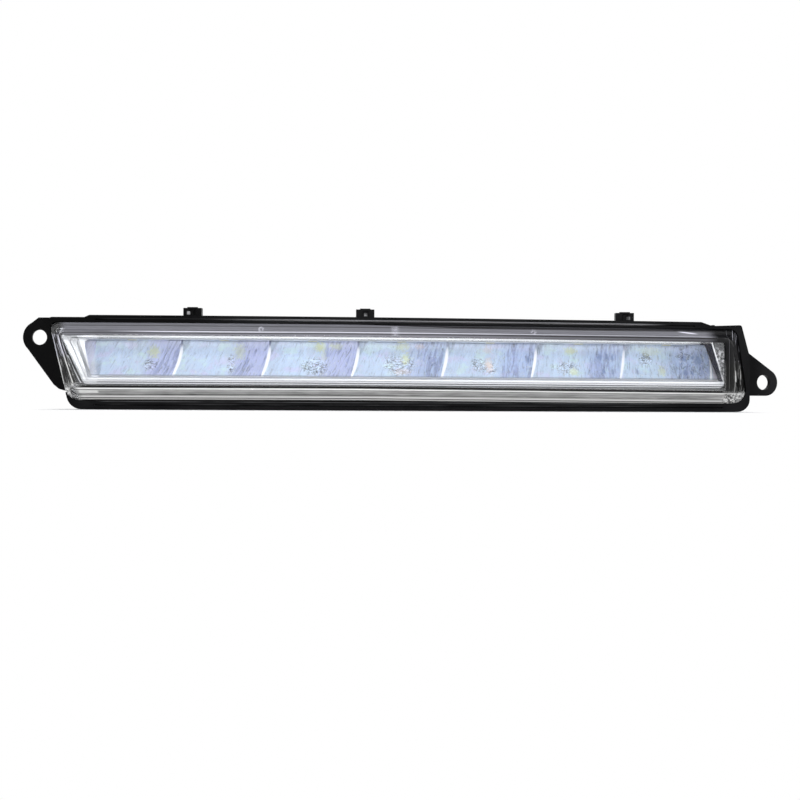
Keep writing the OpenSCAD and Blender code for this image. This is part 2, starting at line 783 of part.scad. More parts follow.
// Wound coil on a drum core
module power_coil() {
    color("saddlebrown")
        translate([box_x + box_w / 2 - 16, board_back, box_z - 4])
            rotate([-90, 0, 0])
                rotate_extrude()
                    polygon([[0, 0], [6.5, 0], [6.5, 1], [5.4, 1.4], [5.4, 5.2], [6.5, 5.6], [6.5, 6.6],
                             [2.4, 6.6], [2, 6], [0, 6]]);
}

// Two standing capacitors with a crimped neck
module filter_capacitors() {
    color("slategray")
        for (z = [-6.5, 5])
            translate([box_x - box_w / 2 + 24, board_back, box_z + z])
                rotate([-90, 0, 0])
                    rotate_extrude()
                        polygon([[0, 0], [4, 0], [4, 0.9], [3.7, 1.3], [4, 1.7], [4, 7.9], [3.7, 8.2],
                                 [3.2, 8], [0, 8]]);
}

module board_screws() {
    color("silver")
        translate([box_x, board_back, box_z])
            rotate([-90, 0, 0])
                at_board_screws()
                    rotate([0, 0, 45])
                        mirror([0, 0, 1])
                            screw(board_t + 2.6);
}

module cover_gasket() {
    color([0.2, 0.2, 0.2])
        on_box(box_y, gasket_t)
            difference() {
                box_shape(0);
                rounded_box(box_w - 0.4, box_h - 0.4, 3);
                at_corners()
                    circle(r = screw_r + 0.3);
            }
}

// Cover with a locating lip inside the gasket and two stiffening ribs outside
module driver_cover() {
    lip = 1.5;
    color([0.09, 0.09, 0.1]) {
        difference() {
            union() {
                on_box(cover_y, cover_t)
                    box_shape(0);
                on_box(cover_y - gasket_t - lip, gasket_t + lip + 0.5)
                    difference() {
                        rounded_box(box_w - 1.2, box_h - 1.2, 3);
                        rounded_box(box_w - 4.2, box_h - 4.2, 2);
                        at_corners()
                            circle(r = 5.5);
                    }
                on_box(cover_y + cover_t - 0.5, 1.5)
                    for (y = [-5, 5])
                        translate([-box_w / 2 + 8, y - 0.8])
                            square([box_w - 16, 1.6]);
            }
            on_box(cover_y - 5, 20)
                at_corners()
                    circle(r = screw_r + 0.25);
        }
    }
}

module cover_screws() {
    color("silver")
        translate([box_x, cover_y + cover_t, box_z])
            rotate([-90, 0, 0])
                at_corners()
                    mirror([0, 0, 1])
                        screw(cover_t + gasket_t + 7);
}

// Connector socket: shroud with the plug's cavity and a latch ramp, flange, and a round neck through the wall
shroud_w = plug_w + 3.4;
shroud_h = plug_h + 3.4;
shroud_l = plug_d + 2.5;
seal_t = 1.4;
module connector_socket() {
    color([0.12, 0.12, 0.13])
        translate([port_x - seal_t, port_y, port_z])
            rotate([0, -90, 0])
                difference() {
                    union() {
                        translate([0, 0, -seal_t - wall - 1.5])
                            cylinder(r = neck_r, h = seal_t + wall + 3);
                        cylinder(r = neck_r + 2.4, h = 2);
                        translate([0, 0, 1])
                            linear_extrude(height = shroud_l + 1)
                                rounded_box(shroud_w, shroud_h, 2);
                        translate([-2.5, shroud_h / 2 - 0.2, 0])
                            rotate([90, 0, 90])
                                linear_extrude(height = 5)
                                    polygon([[0, shroud_l - 8], [1.6, shroud_l - 7], [0, shroud_l - 2]]);
                    }
                    translate([0, 0, shroud_l + 2 - plug_d])
                        linear_extrude(height = plug_d + 1)
                            rounded_box(plug_w, plug_h, 1.2);
                    for (y = [-1, 1])
                        translate([y * pin_pitch / 2, 0, -10])
                            cylinder(r = pin_r + 0.05, h = 20);
                }
}

module connector_seal() {
    color([0.75, 0.3, 0.15])
        translate([port_x, port_y, port_z])
            rotate([0, -90, 0])
                rotate_extrude()
                    translate([neck_r + seal_t / 2 + 0.1, seal_t / 2])
                        circle(r = seal_t / 2 - 0.02, $fn = 24);
}

// Round contact pins: straight from the plug's cavity into the box, then down through the driver board
module connector_pins() {
    x0 = port_x - seal_t - (shroud_l + 2 - plug_d) - plug_d * 0.6;
    x1 = box_x - box_w / 2 + pin_reach;
    color("gold")
        for (y = [-1, 1])
            translate([0, port_y, port_z + y * pin_pitch / 2]) {
                translate([x0, 0, 0])
                    rotate([0, 90, 0])
                        cylinder(r = pin_r, h = x1 - x0);
                translate([x0 - pin_r * 0.6, 0, 0])
                    rotate([0, 90, 0])
                        cylinder(r1 = pin_r * 0.4, r2 = pin_r, h = pin_r * 0.6);
                translate([x1, 0, 0])
                    sphere(r = pin_r);
                translate([x1, 0, 0])
                    rotate([90, 0, 0])
                        cylinder(r = pin_r, h = port_y - board_y + 1);
            }
}

// Lead from the driver board through the rear wall, over the heat sink and down to the LED board
lead_r = 0.9;
module lead(x) {
    high = fanned(x, lens_top + tray_over - wall) - lead_r - 0.2;
    y0 = board_y;
    y1 = placed([x, high], sink_back + 2.8).y;
    y2 = placed([x, high], sink_back - 3.6).y;
    z2 = fanned(x, board_top) + 0.01;
    translate([x, y1, lead_z])
        rotate([-90, 0, 0])
            cylinder(r = lead_r, h = y0 - y1);
    translate([x, y1, lead_z])
        sphere(r = lead_r);
    translate([x, y1, lead_z])
        cylinder(r = lead_r, h = high - lead_z);
    translate([x, y1, high])
        sphere(r = lead_r);
    translate([x, y2, high])
        rotate([-90, 0, 0])
            cylinder(r = lead_r, h = y1 - y2);
    translate([x, y2, high])
        sphere(r = lead_r);
    translate([x, y2, z2])
        cylinder(r = lead_r, h = high - z2);
}
module lead_positive() {
    color("firebrick")
        lead(lead_xs[0]);
}
module lead_negative() {
    color([0.1, 0.1, 0.1])
        lead(lead_xs[1]);
}

// Breather plug in the vent stub: a barbed stem under a domed cap with side slots
module vent_plug() {
    color("gray")
        at(vent_x, back_d + 4, vent_z)
            difference() {
                union() {
                    translate([0, 0, -8])
                        cylinder(r = vent_bore - 0.1, h = 8);
                    cylinder(r = vent_bore + 4, h = 1.6);
                    translate([0, 0, 1.6])
                        cylinder(r1 = vent_bore + 4, r2 = vent_bore + 2.4, h = 1.4);
                }
                translate([0, 0, -9])
                    cylinder(r = 1.2, h = 10.5);
                for (a = [0:60:300])
                    rotate([0, 0, a])
                        translate([vent_bore + 2.2, -0.6, 0.5])
                            cube([4, 1.2, 0.8]);
            }
}

housing();
lens_seal();
outer_lens();
bezel();
reflector();
reflector_screws();
led_board();
for (i = [0:cells - 1])
    led(i);
heat_sink();
heat_sink_screws();
driver_board();
control_chip();
power_coil();
filter_capacitors();
board_screws();
driver_cover();
cover_gasket();
cover_screws();
connector_socket();
connector_seal();
connector_pins();
lead_positive();
lead_negative();
vent_plug();
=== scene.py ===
# %% [markdown]
# # A daytime running light
# The lamp's solids come from the CAD model, which stays fixed. This script gives every solid its finish,
# lays smooth copies over the three bowed mouldings and sets up a photo studio. The shapes could be modelled
# again here, but a second set of shapes would drift away from the first.

# %% Load the frame
import math
import bpy
import bmesh
from mathutils import Matrix, Vector


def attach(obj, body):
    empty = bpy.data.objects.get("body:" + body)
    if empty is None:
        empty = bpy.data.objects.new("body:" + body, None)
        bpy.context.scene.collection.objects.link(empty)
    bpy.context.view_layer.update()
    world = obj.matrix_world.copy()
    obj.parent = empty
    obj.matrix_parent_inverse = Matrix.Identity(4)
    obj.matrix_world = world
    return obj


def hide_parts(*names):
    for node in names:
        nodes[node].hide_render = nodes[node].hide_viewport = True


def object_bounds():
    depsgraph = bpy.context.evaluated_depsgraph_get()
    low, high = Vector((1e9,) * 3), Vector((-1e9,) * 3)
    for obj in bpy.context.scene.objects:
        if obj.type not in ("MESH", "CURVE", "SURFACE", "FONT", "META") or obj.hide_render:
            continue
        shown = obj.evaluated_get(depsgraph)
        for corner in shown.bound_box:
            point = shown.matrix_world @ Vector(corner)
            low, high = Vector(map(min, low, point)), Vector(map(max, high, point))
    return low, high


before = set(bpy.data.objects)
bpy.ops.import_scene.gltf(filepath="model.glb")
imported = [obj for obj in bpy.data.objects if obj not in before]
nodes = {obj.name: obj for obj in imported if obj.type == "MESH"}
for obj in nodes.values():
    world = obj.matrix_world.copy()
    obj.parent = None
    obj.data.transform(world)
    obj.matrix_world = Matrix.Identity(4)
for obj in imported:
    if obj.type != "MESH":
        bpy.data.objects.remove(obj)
cad_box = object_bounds()
print("CAD box", cad_box)
print(len(nodes), "nodes")

# %% [markdown]
# ## The camera
# The lamp was photographed from straight in front with a long lens, so its ends look as tall as its
# middle. A wide lens close by would frame it as well, but would swell the middle. So the camera stands a
# metre away, level with the lamp's lower half, and leans a quarter of a degree, because the lamp's right
# end sits a little lower in the picture.

# %% Camera
LAMP_MIDDLE = 0.2145
CAMERA_AWAY, CAMERA_HEIGHT = -1.028, -0.0364
FOCAL_MM, SENSOR_MM, NEAREST = 77.6, 36, 0.01
LOOK_AHEAD, LEAN_OF_PICTURE = math.radians(90), math.radians(0.242)

camera_data = bpy.data.cameras.new("camera")
camera_data.lens = FOCAL_MM
camera_data.sensor_width = SENSOR_MM
camera_data.clip_start = NEAREST
camera = bpy.data.objects.new("camera", camera_data)
bpy.context.scene.collection.objects.link(camera)
camera.matrix_world = (Matrix.Translation((LAMP_MIDDLE, CAMERA_AWAY, CAMERA_HEIGHT))
                       @ Matrix.Rotation(LOOK_AHEAD, 4, "X")
                       @ Matrix.Rotation(LEAN_OF_PICTURE, 4, "Z"))
bpy.context.scene.camera = camera
print("camera at", tuple(camera.matrix_world.translation))

# %% [markdown]
# ## Shader maths as plain expressions
# A finish is a net of nodes. It could be linked socket by socket, but that hides the sums behind the
# wiring. One small class wraps a socket instead, so that `1 - mask * 0.5` adds the Math nodes by itself,
# and one method makes any other node from its type, its settings and its inputs.

# %% A wire between nodes
class Wire:
    def __init__(self, tree, socket=None):
        self.tree, self.socket = tree, socket

    def make(self, kind, settings=None, inputs=None, out=0):
        node = self.tree.nodes.new(kind)
        for name, value in (settings or {}).items():
            setattr(node, name, value)
        for name, value in (inputs or {}).items():
            if isinstance(value, Wire):
                self.tree.links.new(value.socket, node.inputs[name])
            else:
                node.inputs[name].default_value = value
        return Wire(self.tree, node.outputs[out]) if node.outputs else None

    def maths(self, operation, *values, clamp=False):
        return self.make("ShaderNodeMath", {"operation": operation, "use_clamp": clamp},
                         dict(enumerate(values)))

    def __add__(self, other): return self.maths("ADD", self, other)
    def __radd__(self, other): return self.maths("ADD", other, self)
    def __sub__(self, other): return self.maths("SUBTRACT", self, other)
    def __rsub__(self, other): return self.maths("SUBTRACT", other, self)
    def __mul__(self, other): return self.maths("MULTIPLY", self, other)
    def __rmul__(self, other): return self.maths("MULTIPLY", other, self)
    def __truediv__(self, other): return self.maths("DIVIDE", self, other)
    def __pow__(self, other): return self.maths("POWER", self, other)
    def __abs__(self): return self.maths("ABSOLUTE", self)


print("wires ready")

# %% [markdown]
# ## Masks
# A band, a thread or a patch on the lamp is a mask: 1 where the mark is, 0 elsewhere, with a soft edge
# between. Painted images could hold the marks too, but masks made from numbers stay sharp at any size.

# %% Masks
def step(value, low, high):
    """Rises from 0 to 1 as value goes from low to high."""
    return value.make("ShaderNodeMapRange", {"interpolation_type": "SMOOTHSTEP"},
                      {"Value": value, "From Min": low, "From Max": high})


def until(value, low, high):
    """Falls from 1 to 0 as value goes from low to high."""
    return 1 - step(value, low, high)


def line(value, middle, half, soft=0.15):
    """1 within half of the middle, with soft edges."""
    return until(abs(value - middle), half, half + soft)


def threads(value, table):
    """A sum of lines, each given as its middle, half width, softness and strength."""
    total = 0
    for middle, half, soft, strength in table:
        total = line(value, middle, half, soft) * strength + total
    return total


def at_least(value, low): return value.maths("MAXIMUM", value, low)
def at_most(value, high): return value.maths("MINIMUM", value, high)
def past(value, start): return at_least(value - start, 0)


def either(first, *others):
    """The highest of several masks."""
    for other in others:
        first = at_least(first, other)
    return first


def blend(share, first, second):
    """A number: first where share is 0, second where it is 1."""
    return first * (1 - share) + second * share


print("masks ready")

# %% [markdown]
# ## Colours
# A finish on the real lamp is seldom one flat colour. Each colour starts from a plain one, and masks mix
# others into it one after the other, which keeps each mark a line of its own.

# %% Colours
def colour_mix(share, first, second, way="MIX"):
    """A colour: first where share is 0, second where it is 1."""
    rgba = [c if isinstance(c, Wire) else (*c, 1) for c in (first, second)]
    wire = share if isinstance(share, Wire) else rgba[0]
    return wire.make("ShaderNodeMix", {"data_type": "RGBA", "blend_type": way},
                     {0: share, 6: rgba[0], 7: rgba[1]}, out=2)


def grey(value):
    """A colour with the same value in all three channels."""
    return value.make("ShaderNodeCombineXYZ", {}, {0: value, 1: value, 2: value})


print("colours ready")

# %% [markdown]
# ## Places on the lamp
# The lamp is bowed and its top edge falls to the right. Its moulded lines follow both. They could be drawn
# as curves in space, but it's easier to straighten the lamp first and draw on that: how far along, how
# deep behind the lens face and how high. Every place and width below is in millimetres, and every tone
# runs from 0 for black to 1 for white.

# %% Straightened places
MM = 1000
BOW, MIDDLE, FACE = 1500, 214.6, 31
FALL, FALL_FROM, LEVEL = 0.00013886, 30.3, -42.6
OBJECT_COORDINATES = 3


def place(wire):
    """The point on the object, in metres, in the lamp's own frame."""
    return wire.make("ShaderNodeTexCoord", out=OBJECT_COORDINATES)


def axes(point):
    return [point.make("ShaderNodeSeparateXYZ", {}, {0: point}, out=i) for i in range(3)]


def vector(x, y, z):
    return x.make("ShaderNodeCombineXYZ", {}, {0: x, 1: y, 2: z})


def straightened(wire):
    """Length, depth and height on the straightened lamp."""
    x, y, z = [value * MM for value in axes(place(wire))]
    off = x - MIDDLE
    depth = y + FACE - (BOW - wire.maths("SQRT", BOW * BOW - off * off))
    slant = (x - FALL_FROM) * FALL
    return x, depth, (z - slant * LEVEL) / (1 - slant)


print("the straightened lamp is", round((cad_box[1][0] - cad_box[0][0]) * MM), "mm long")

# %% [markdown]
# ## Noise, bumps and new finishes
# No moulding is perfectly even. Noise stands for the grain, the flow marks and the wear, and a bump lets
# the finest of them tilt the light without any more faces in the mesh.

# %% Noise, bumps and new finishes
def noise(point, scale, detail=3.0, roughness=0.55, stretch=(1, 1, 1), bend=0.0):
    moved = point.make("ShaderNodeVectorMath", {"operation": "MULTIPLY"}, {0: point, 1: stretch})
    return point.make("ShaderNodeTexNoise", {}, {"Vector": moved, "Scale": scale, "Detail": detail,
                                                 "Roughness": roughness, "Distortion": bend})


def bump(height, distance, strength=1.0):
    return height.make("ShaderNodeBump", {},
                       {"Strength": strength, "Distance": distance, "Height": height})


def new_material(name):
    material = bpy.data.materials.new(name)
    material.use_nodes = True
    tree = material.node_tree
    tree.nodes.clear()
    return material, Wire(tree)


def finish_with(wire, shader):
    wire.make("ShaderNodeOutputMaterial", {}, {"Surface": shader})


def principled(wire, **inputs):
    """The usual shader, with underscores for the spaces in the names of its inputs."""
    return wire.make("ShaderNodeBsdfPrincipled", {}, {k.replace("_", " "): v for k, v in inputs.items()})


print("noise and bumps ready")

# %% [markdown]
# ## Moulded plastics and rubbers
# The cover, the socket, the vent and the seals are filled plastics and rubbers with a fine spark-eroded
# grain. One finish could serve them all, but they differ in colour, gloss and grain, so one function makes
# them from those three. Flow lines run along each part, and handling leaves soft, shinier patches.

# %% Moulded plastics
GRAIN_SCALE, WORN_GAIN, WORN_LIFT = 2600, 1.6, 0.002


def moulded(name, colour, rough=0.45, grain=0.00003, shine=0.3):
    material, w = new_material(name)
    p = place(w)
    cloud = noise(p, 55, 4)
    flow = noise(p, 30, 5, 0.6, (0.3, 1, 2.4), 0.6)
    fine = noise(p, GRAIN_SCALE, 2)
    worn = tuple(c * WORN_GAIN + WORN_LIFT for c in colour)
    finish_with(w, principled(
        w, Base_Color=colour_mix(step(cloud * 0.6 + flow * 0.4, 0.35, 0.68), colour, worn),
        Roughness=rough + (cloud - 0.5) * 0.12 + (fine - 0.5) * 0.1,
        Specular_IOR_Level=shine, Normal=bump(fine, grain)))
    return material


cover_plastic = moulded("cover_plastic", (0.011, 0.011, 0.012), 0.5)
socket_plastic = moulded("socket_plastic", (0.014, 0.014, 0.015), 0.38, 0.00002)
vent_plastic = moulded("vent_plastic", (0.11, 0.11, 0.115), 0.5)
chip_plastic = moulded("chip_plastic", (0.012, 0.012, 0.013), 0.55, 0.00002)
rubber = moulded("rubber", (0.008, 0.008, 0.008), 0.75, 0.00005, 0.15)
silicone = moulded("silicone", (0.42, 0.11, 0.035), 0.5, 0.00002)
red_insulation = moulded("red_insulation", (0.5, 0.02, 0.015), 0.35, 0.00001)
black_insulation = moulded("black_insulation", (0.012, 0.012, 0.012), 0.35, 0.00001)
board_white = moulded("board_white", (0.66, 0.68, 0.74), 0.4, 0.00001)
print("moulded plastics ready")

# %% [markdown]
# ## The housing
# The housing is one black moulding. Along the middle of the lamp its upper edge gets a painted highlight, a
# thread of light, the lower rim gets two fainter painted threads, and the small catch in each clip tab gets
# a painted highlight. Edges this fine could be cut into the mesh to catch the light, but they're thinner
# than a pixel, so their highlights are drawn on the straightened lamp. The left ear and the rim next to it
# lie in shade, and that shade is painted: they're painted nearly black.

# %% Housing
TABS, CATCH_HEIGHT = (90.0, 194.2, 348.8), 14.8
UPPER_EDGE, RIM_HIGHLIGHT, FOOT_HIGHLIGHT = 10.86, -37.9, -39.6
SHADE_BLACK, BLACK, SOFT_BLACK = (0.0008, 0.0008, 0.001), (0.003, 0.003, 0.0034), (0.0072, 0.0072, 0.0078)
REAR_BLACK, HIGHLIGHT_GREY, CATCH_HIGHLIGHT = (0.012, 0.012, 0.013), (0.2, 0.2, 0.21), (0.3, 0.3, 0.31)


def painted_rim_highlights(p, x, depth, height):
    """The painted highlights, thin threads of light, along the front rim."""
    # Painted highlights: a thread of light along the upper edge, strongest mid-lamp, and two fainter ones
    # below.
    dashes = step(noise(p, 90, 2, stretch=(0.25, 0, 0)), 0.32, 0.6)
    highlight_share = (0.05 + step(x, 90, 165) * 0.95) * (0.8 + dashes * 0.2)
    found = either(line(height, UPPER_EDGE, 0.3, 0.25) * highlight_share,
                   line(height, RIM_HIGHLIGHT, 0.14, 0.25) * dashes * 0.22,
                   line(height, FOOT_HIGHLIGHT, 0.14, 0.25) * (1 - dashes) * 0.16)
    return found * step(x, 34, 44) * until(x, 352, 374) * until(depth, 13.4, 14.4)


def housing_finish():
    material, w = new_material("housing_plastic")
    p = place(w)
    x, depth, height = straightened(w)
    cloud = noise(p, 48, 4)
    flow = noise(p, 26, 5, 0.6, (0.25, 1, 2.6), 0.8)
    fine = noise(p, 2400, 2)
    rear = step(depth, 17, 20) * step(x, 14, 26) * (0.5 + cloud * 0.5)
    # Painted shade: the left ear and the rim beside it, which lie in shade, are painted nearly black.
    shaded = either(until(x, 14, 26), until(x, 80, 140) * step(height, 6, 9)) * until(depth, 32, 36)
    colour = colour_mix(step(cloud * 0.55 + flow * 0.45, 0.38, 0.66), BLACK, SOFT_BLACK)
    colour = colour_mix(rear, colour, REAR_BLACK)
    colour = colour_mix(shaded, colour, SHADE_BLACK)
    colour = colour_mix(painted_rim_highlights(p, x, depth, height), colour, HIGHLIGHT_GREY)
    # A painted highlight on the catch of each clip tab.
    for tab in TABS:
        spot = line(x, tab, 0.7, 0.5) * line(height, CATCH_HEIGHT, 0.7, 0.5) * step(flow, 0.35, 0.55)
        colour = colour_mix(spot * 0.8, colour, CATCH_HIGHLIGHT)
    finish_with(w, principled(
        w, Base_Color=colour, Roughness=0.42 + (cloud - 0.5) * 0.16 + (fine - 0.5) * 0.12,
        Specular_IOR_Level=0.055, Normal=bump(fine * 0.8 + flow * 0.5, 0.00004)))
    return material


housing_plastic = housing_finish()
print("housing finish ready")

# %% [markdown]
# ## Where a point lies on the lens
# The clear lens has a flat face with sloped walls and a flange round it. The fine lines on them follow the
# upper and the lower edge, which aren't quite parallel. A line could be bent by hand, but it's simpler to
# give each edge its own height: `fine` follows the upper one and `low` the lower one.

# %% Lens places
LENS_LEFT, LENS_LEAN = 6.3 + 8.7 * 0.2473, 0.2473
FACE_LEFT, FACE_TOP, FACE_LEAN = 11.5, 2.8, 0.3415
FALLS_FROM = 195


class LensPlace:
    def __init__(self, wire):
        x, depth, height = self.x, self.depth, self.height = straightened(wire)
        self.low = height + past(x, FALLS_FROM) * 0.006 + until(x, 40, 180) * 0.2
        self.fine = height + until(x, 110, 190) * 0.35
        self.from_left = x - (LENS_LEFT - height * LENS_LEAN)
        self.from_face = x - (FACE_LEFT + (FACE_TOP - height) * FACE_LEAN)
        self.at_left, self.to_right = until(x, 36, 78), step(x, 190, 372)
        self.is_upper = step(height, -14, -10)
        self.streaks = noise(vector(x * 0.02, height * 0.9, depth * 0.3), 3.0, 4, 0.65)
        self.patches = noise(vector(x * 0.035, height * 0.25, depth * 0.1), 1.6, 3, 0.6)
        self.blots = noise(vector(x * 0.5, height * 0.5, depth * 0.2), 1.3, 4, 0.7, bend=1.0)


print("the lens starts", round(LENS_LEFT, 1), "mm from the left ear's hole")

# %% [markdown]
# ## The bands of the lens
# Above and below the window the lens is seen at a slant. It gathers the light of the whole room there and
# reads as grey bands with bright and dark threads, which are painted reflections. The room could be built
# and traced through the plastic, but the threads would be left to luck. A table of threads puts each one
# where it was seen, and a painted glint lies near the right end of the upper band.

# %% Lens bands
UPPER_GREY, LOWER_GREY = 0.165, 0.34
UPPER_THREADS = ((4.9, 0.15, 0.25, 0.09), (7.0, 0.2, 0.25, -0.09), (8.3, 0.15, 0.3, 0.04))
LOWER_THREADS = ((-30.2, 0.24, 0.25, 0.62), (-30.8, 0.1, 0.2, -0.1), (-31.3, 0.15, 0.3, 0.14),
                 (-33.6, 0.22, 0.25, -0.18), (-34.9, 0.16, 0.25, 0.2), (-35.5, 0.16, 0.2, -0.28),
                 (-36.0, 0.1, 0.2, 0.06))
LIGHT_THREAD, DARK_THREAD, FAINT_THREAD, TOP_THREAD = 3.65, 2.75, 1.7, 8.3
GLINT_X, GLINT_HEIGHT = 384, 6.2


def upper_band(s):
    # Painted reflections of the room: a grey band with light and dark threads and a glint.
    light = line(s.fine, LIGHT_THREAD, 0.24, 0.25) * (0.72 - s.to_right * 0.4) * (1 - s.at_left * 0.8)
    dark = until(abs(s.fine - DARK_THREAD - s.at_left * 0.4) - s.at_left * 0.7, 0.22, 0.5)
    faint = line(s.fine, FAINT_THREAD, 0.12, 0.25)
    above_foot = step(-1 * s.height, -3.2, -2.2) * (0.01 + s.to_right * 0.1)
    tone = light + UPPER_GREY + threads(s.height, UPPER_THREADS) + faint * 0.05 - dark * 0.09 - above_foot
    lowered = s.height + step(s.x, 160, 270) * 2 - step(s.x, 330, 375) * 0.3
    tone = tone * (1 - step(lowered, 8.8, 9.2) * 0.9) * (1 - step(s.x, 393, 402) * 0.97)
    top = line(s.height, TOP_THREAD, 0.15, 0.25) * step(s.x, 200, 250) * until(s.x, 352, 385)
    glint = until(abs(s.x - GLINT_X), 2, 7) \
        * line(s.height + (s.x - GLINT_X) * 0.1, GLINT_HEIGHT, 0.15, 0.3)
    return tone + top * 0.05 + glint * 0.6


def lower_band(s):
    # Painted reflections: a grey band with threads and a dark line at the foot.
    return threads(s.low, LOWER_THREADS) + LOWER_GREY - step(-1 * s.low, 36.35, 36.7) * 0.4


print(len(UPPER_THREADS) + len(LOWER_THREADS), "threads in the tables")

# %% [markdown]
# ## The small marks of the lens
# A moulded lens shows where it was pushed out of the mould, as four round pips, drawn as light rings for the
# light caught by their rims, with slightly darker middles. A rippled painted highlight lies over the middle
# of the upper band, painted patches of highlight run along the lower band, and a short painted white
# reflection lies in the lower left corner. The pips could be modelled, but they're too shallow to see from
# the side, so they're drawn.

# %% Lens marks
PIPS = ((133.2, 5.2), (292.4, 5.3), (128.5, -29.0), (290.6, -28.6))
MIDDLE_HIGHLIGHT_X, MIDDLE_HIGHLIGHT_HEIGHT = 211.6, 4.8
PATCHY_HIGHLIGHT_HEIGHT, CORNER_REFLECTION_HEIGHT = -32.2, -32.0


def with_marks(s, tone):
    # Painted patches of highlight along the lower band.
    tone = tone * (0.74 + s.streaks * 0.52) + (s.patches - 0.5) * 0.5 * line(s.low, PATCHY_HIGHLIGHT_HEIGHT, 1.4, 0.6)
    # A rippled painted highlight over the middle, and a short painted reflection in the lower left corner.
    rings = noise(vector(s.x * 0.7, s.height * 1.9, s.depth * 0), 1.7, 2, bend=1.2)
    middle_highlight = until(abs(s.x - MIDDLE_HIGHLIGHT_X), 0.8, 3.2) * line(s.height, MIDDLE_HIGHLIGHT_HEIGHT, 2.4, 1.0)
    corner_reflection = line(s.low, CORNER_REFLECTION_HEIGHT, 0.55, 0.3) * step(s.x, 24, 26) * until(s.x, 36, 38)
    tone = tone + middle_highlight * step(rings, 0.42, 0.58) * 0.26 + corner_reflection * 0.5
    # Each pip is drawn as a light ring, the light caught by its rim, with a slightly darker middle.
    for pip_x, pip_height in PIPS:
        far = s.x.maths("SQRT", (s.x - pip_x) ** 2.0 + (s.height - pip_height) ** 2.0)
        edge = line(far, 1.1, 0.3, 0.6) * step(s.blots, 0.42, 0.56)
        tone = tone + edge * 0.3 - until(far, 0.3, 1.0) * 0.07
    return tone


print(len(PIPS), "pips")

# %% [markdown]
# ## The ends of the lens
# The end walls are steep, so they fold the view of the dark housing and the white room into fine upright
# fibres. Tracing them would take every facet of the real walls. Noise that is stretched upwards and cut
# off sharply gives fibres of the same width at once. These fibres, the bright lines along the walls, a glint
# on the right wall and the mottle of the lower corners are painted reflections.

# %% Lens ends
def left_end(s):
    """How much a point belongs to the left wall, and the wall's tone."""
    # Painted reflections on the left wall: fibres and two bright lines along its edges.
    grain = noise(vector(s.from_face * 0.75, s.height * 0.06, s.depth * 0), 1.3, 3, 0.6, bend=0.4)
    tone = step(grain, 0.54, 0.64) * 0.4 + 0.012 + line(s.from_face, 1.1, 0.25, 0.25) * 0.5 \
        + line(s.from_left, 0.3, 0.3, 0.25) * 0.4
    return until(s.from_face, 2.7, 3.2) * line(s.height, -13, 13.5, 2.0), tone


def right_end(s):
    """The same for the right wall."""
    # Painted reflections on the right wall: fibres, thin bright lines and a glint low down.
    fibre = noise(vector(s.x * 0.8, s.height * 0.07, s.depth * 0), 1.3, 3, 0.6, bend=0.5)
    tone = step(fibre, 0.57, 0.68) * 0.22 * step(s.x, 409.5, 410.5) + 0.006 \
        + line(s.x, 410.9, 0.14, 0.2) * 0.22 + line(s.x, 407.2, 0.08, 0.15) * 0.05 \
        + line(s.x, 411.6, 0.35, 0.3) * line(s.height, -20.5, 2.6, 1.6) * 0.7
    return step(s.x, 404.9, 405.3) * line(s.height, -11, 18.6, 1.0), tone


def corner_mottle(s):
    """The same for the mottled lower corners."""
    # Painted reflections of the white room in the rounded lower corners.
    tone = step(s.blots, 0.44, 0.6) * 0.6 + 0.05 + until(s.x, 30, 40) * 0.22
    ends = either(step(s.x, 403.5, 407), until(s.from_left, 3.5, 5.5))
    return step(-1 * s.low, 29.6, 30.4) * ends, tone


print("lens ends ready")

# %% [markdown]
# ## The clear lens
# The face is real refracting glass in the shader, so the bezel and the cells shift behind it as they do
# in a lamp. Over the walls and the flange a grey shader carries the bands of painted reflections, and a mask
# says how much of it shows. A black line painted low on the face stands for the shade in the gap behind it.
# Glass throws a black shadow in a path tracer, so shadow rays pass straight through it.

# %% Clear lens
CAMERA_RAY, SHADOW_RAY, GLOSSY_RAY, TRANSMISSION_RAY = 0, 1, 3, 6
GAP_SHADOW_HEIGHT, SHADOW_TONE = -29.0, 0.006
WARM, COOL = (1.0, 1.0, 0.985), (0.93, 0.93, 1.06)


def band_cover_of(s, black, left, right):
    """How much of the grey shader with the painted bands covers the glass."""
    walls = either(step(s.height + s.to_right * 0.9, 1.0, 1.4), step(-1 * s.low, 29.2, 29.6))
    inner = step(s.from_left, 5, 11) * until(s.x, 412, 414)
    corner = step(-1 * s.height, 24, 33) * until(s.from_left, 2.4, 4.2) \
        * step(s.streaks + s.blots, 0.85, 1.1)
    right_corner = step(-1 * s.height, 29, 32) * step(s.x, 404, 409) * step(s.patches + s.blots, 0.85, 1.1)
    return either(walls * inner * 0.94, black * 0.96, left * 0.88 * step(s.from_left, -0.3, 0.1),
                  right * 0.96, corner * 0.8, right_corner * 0.85)


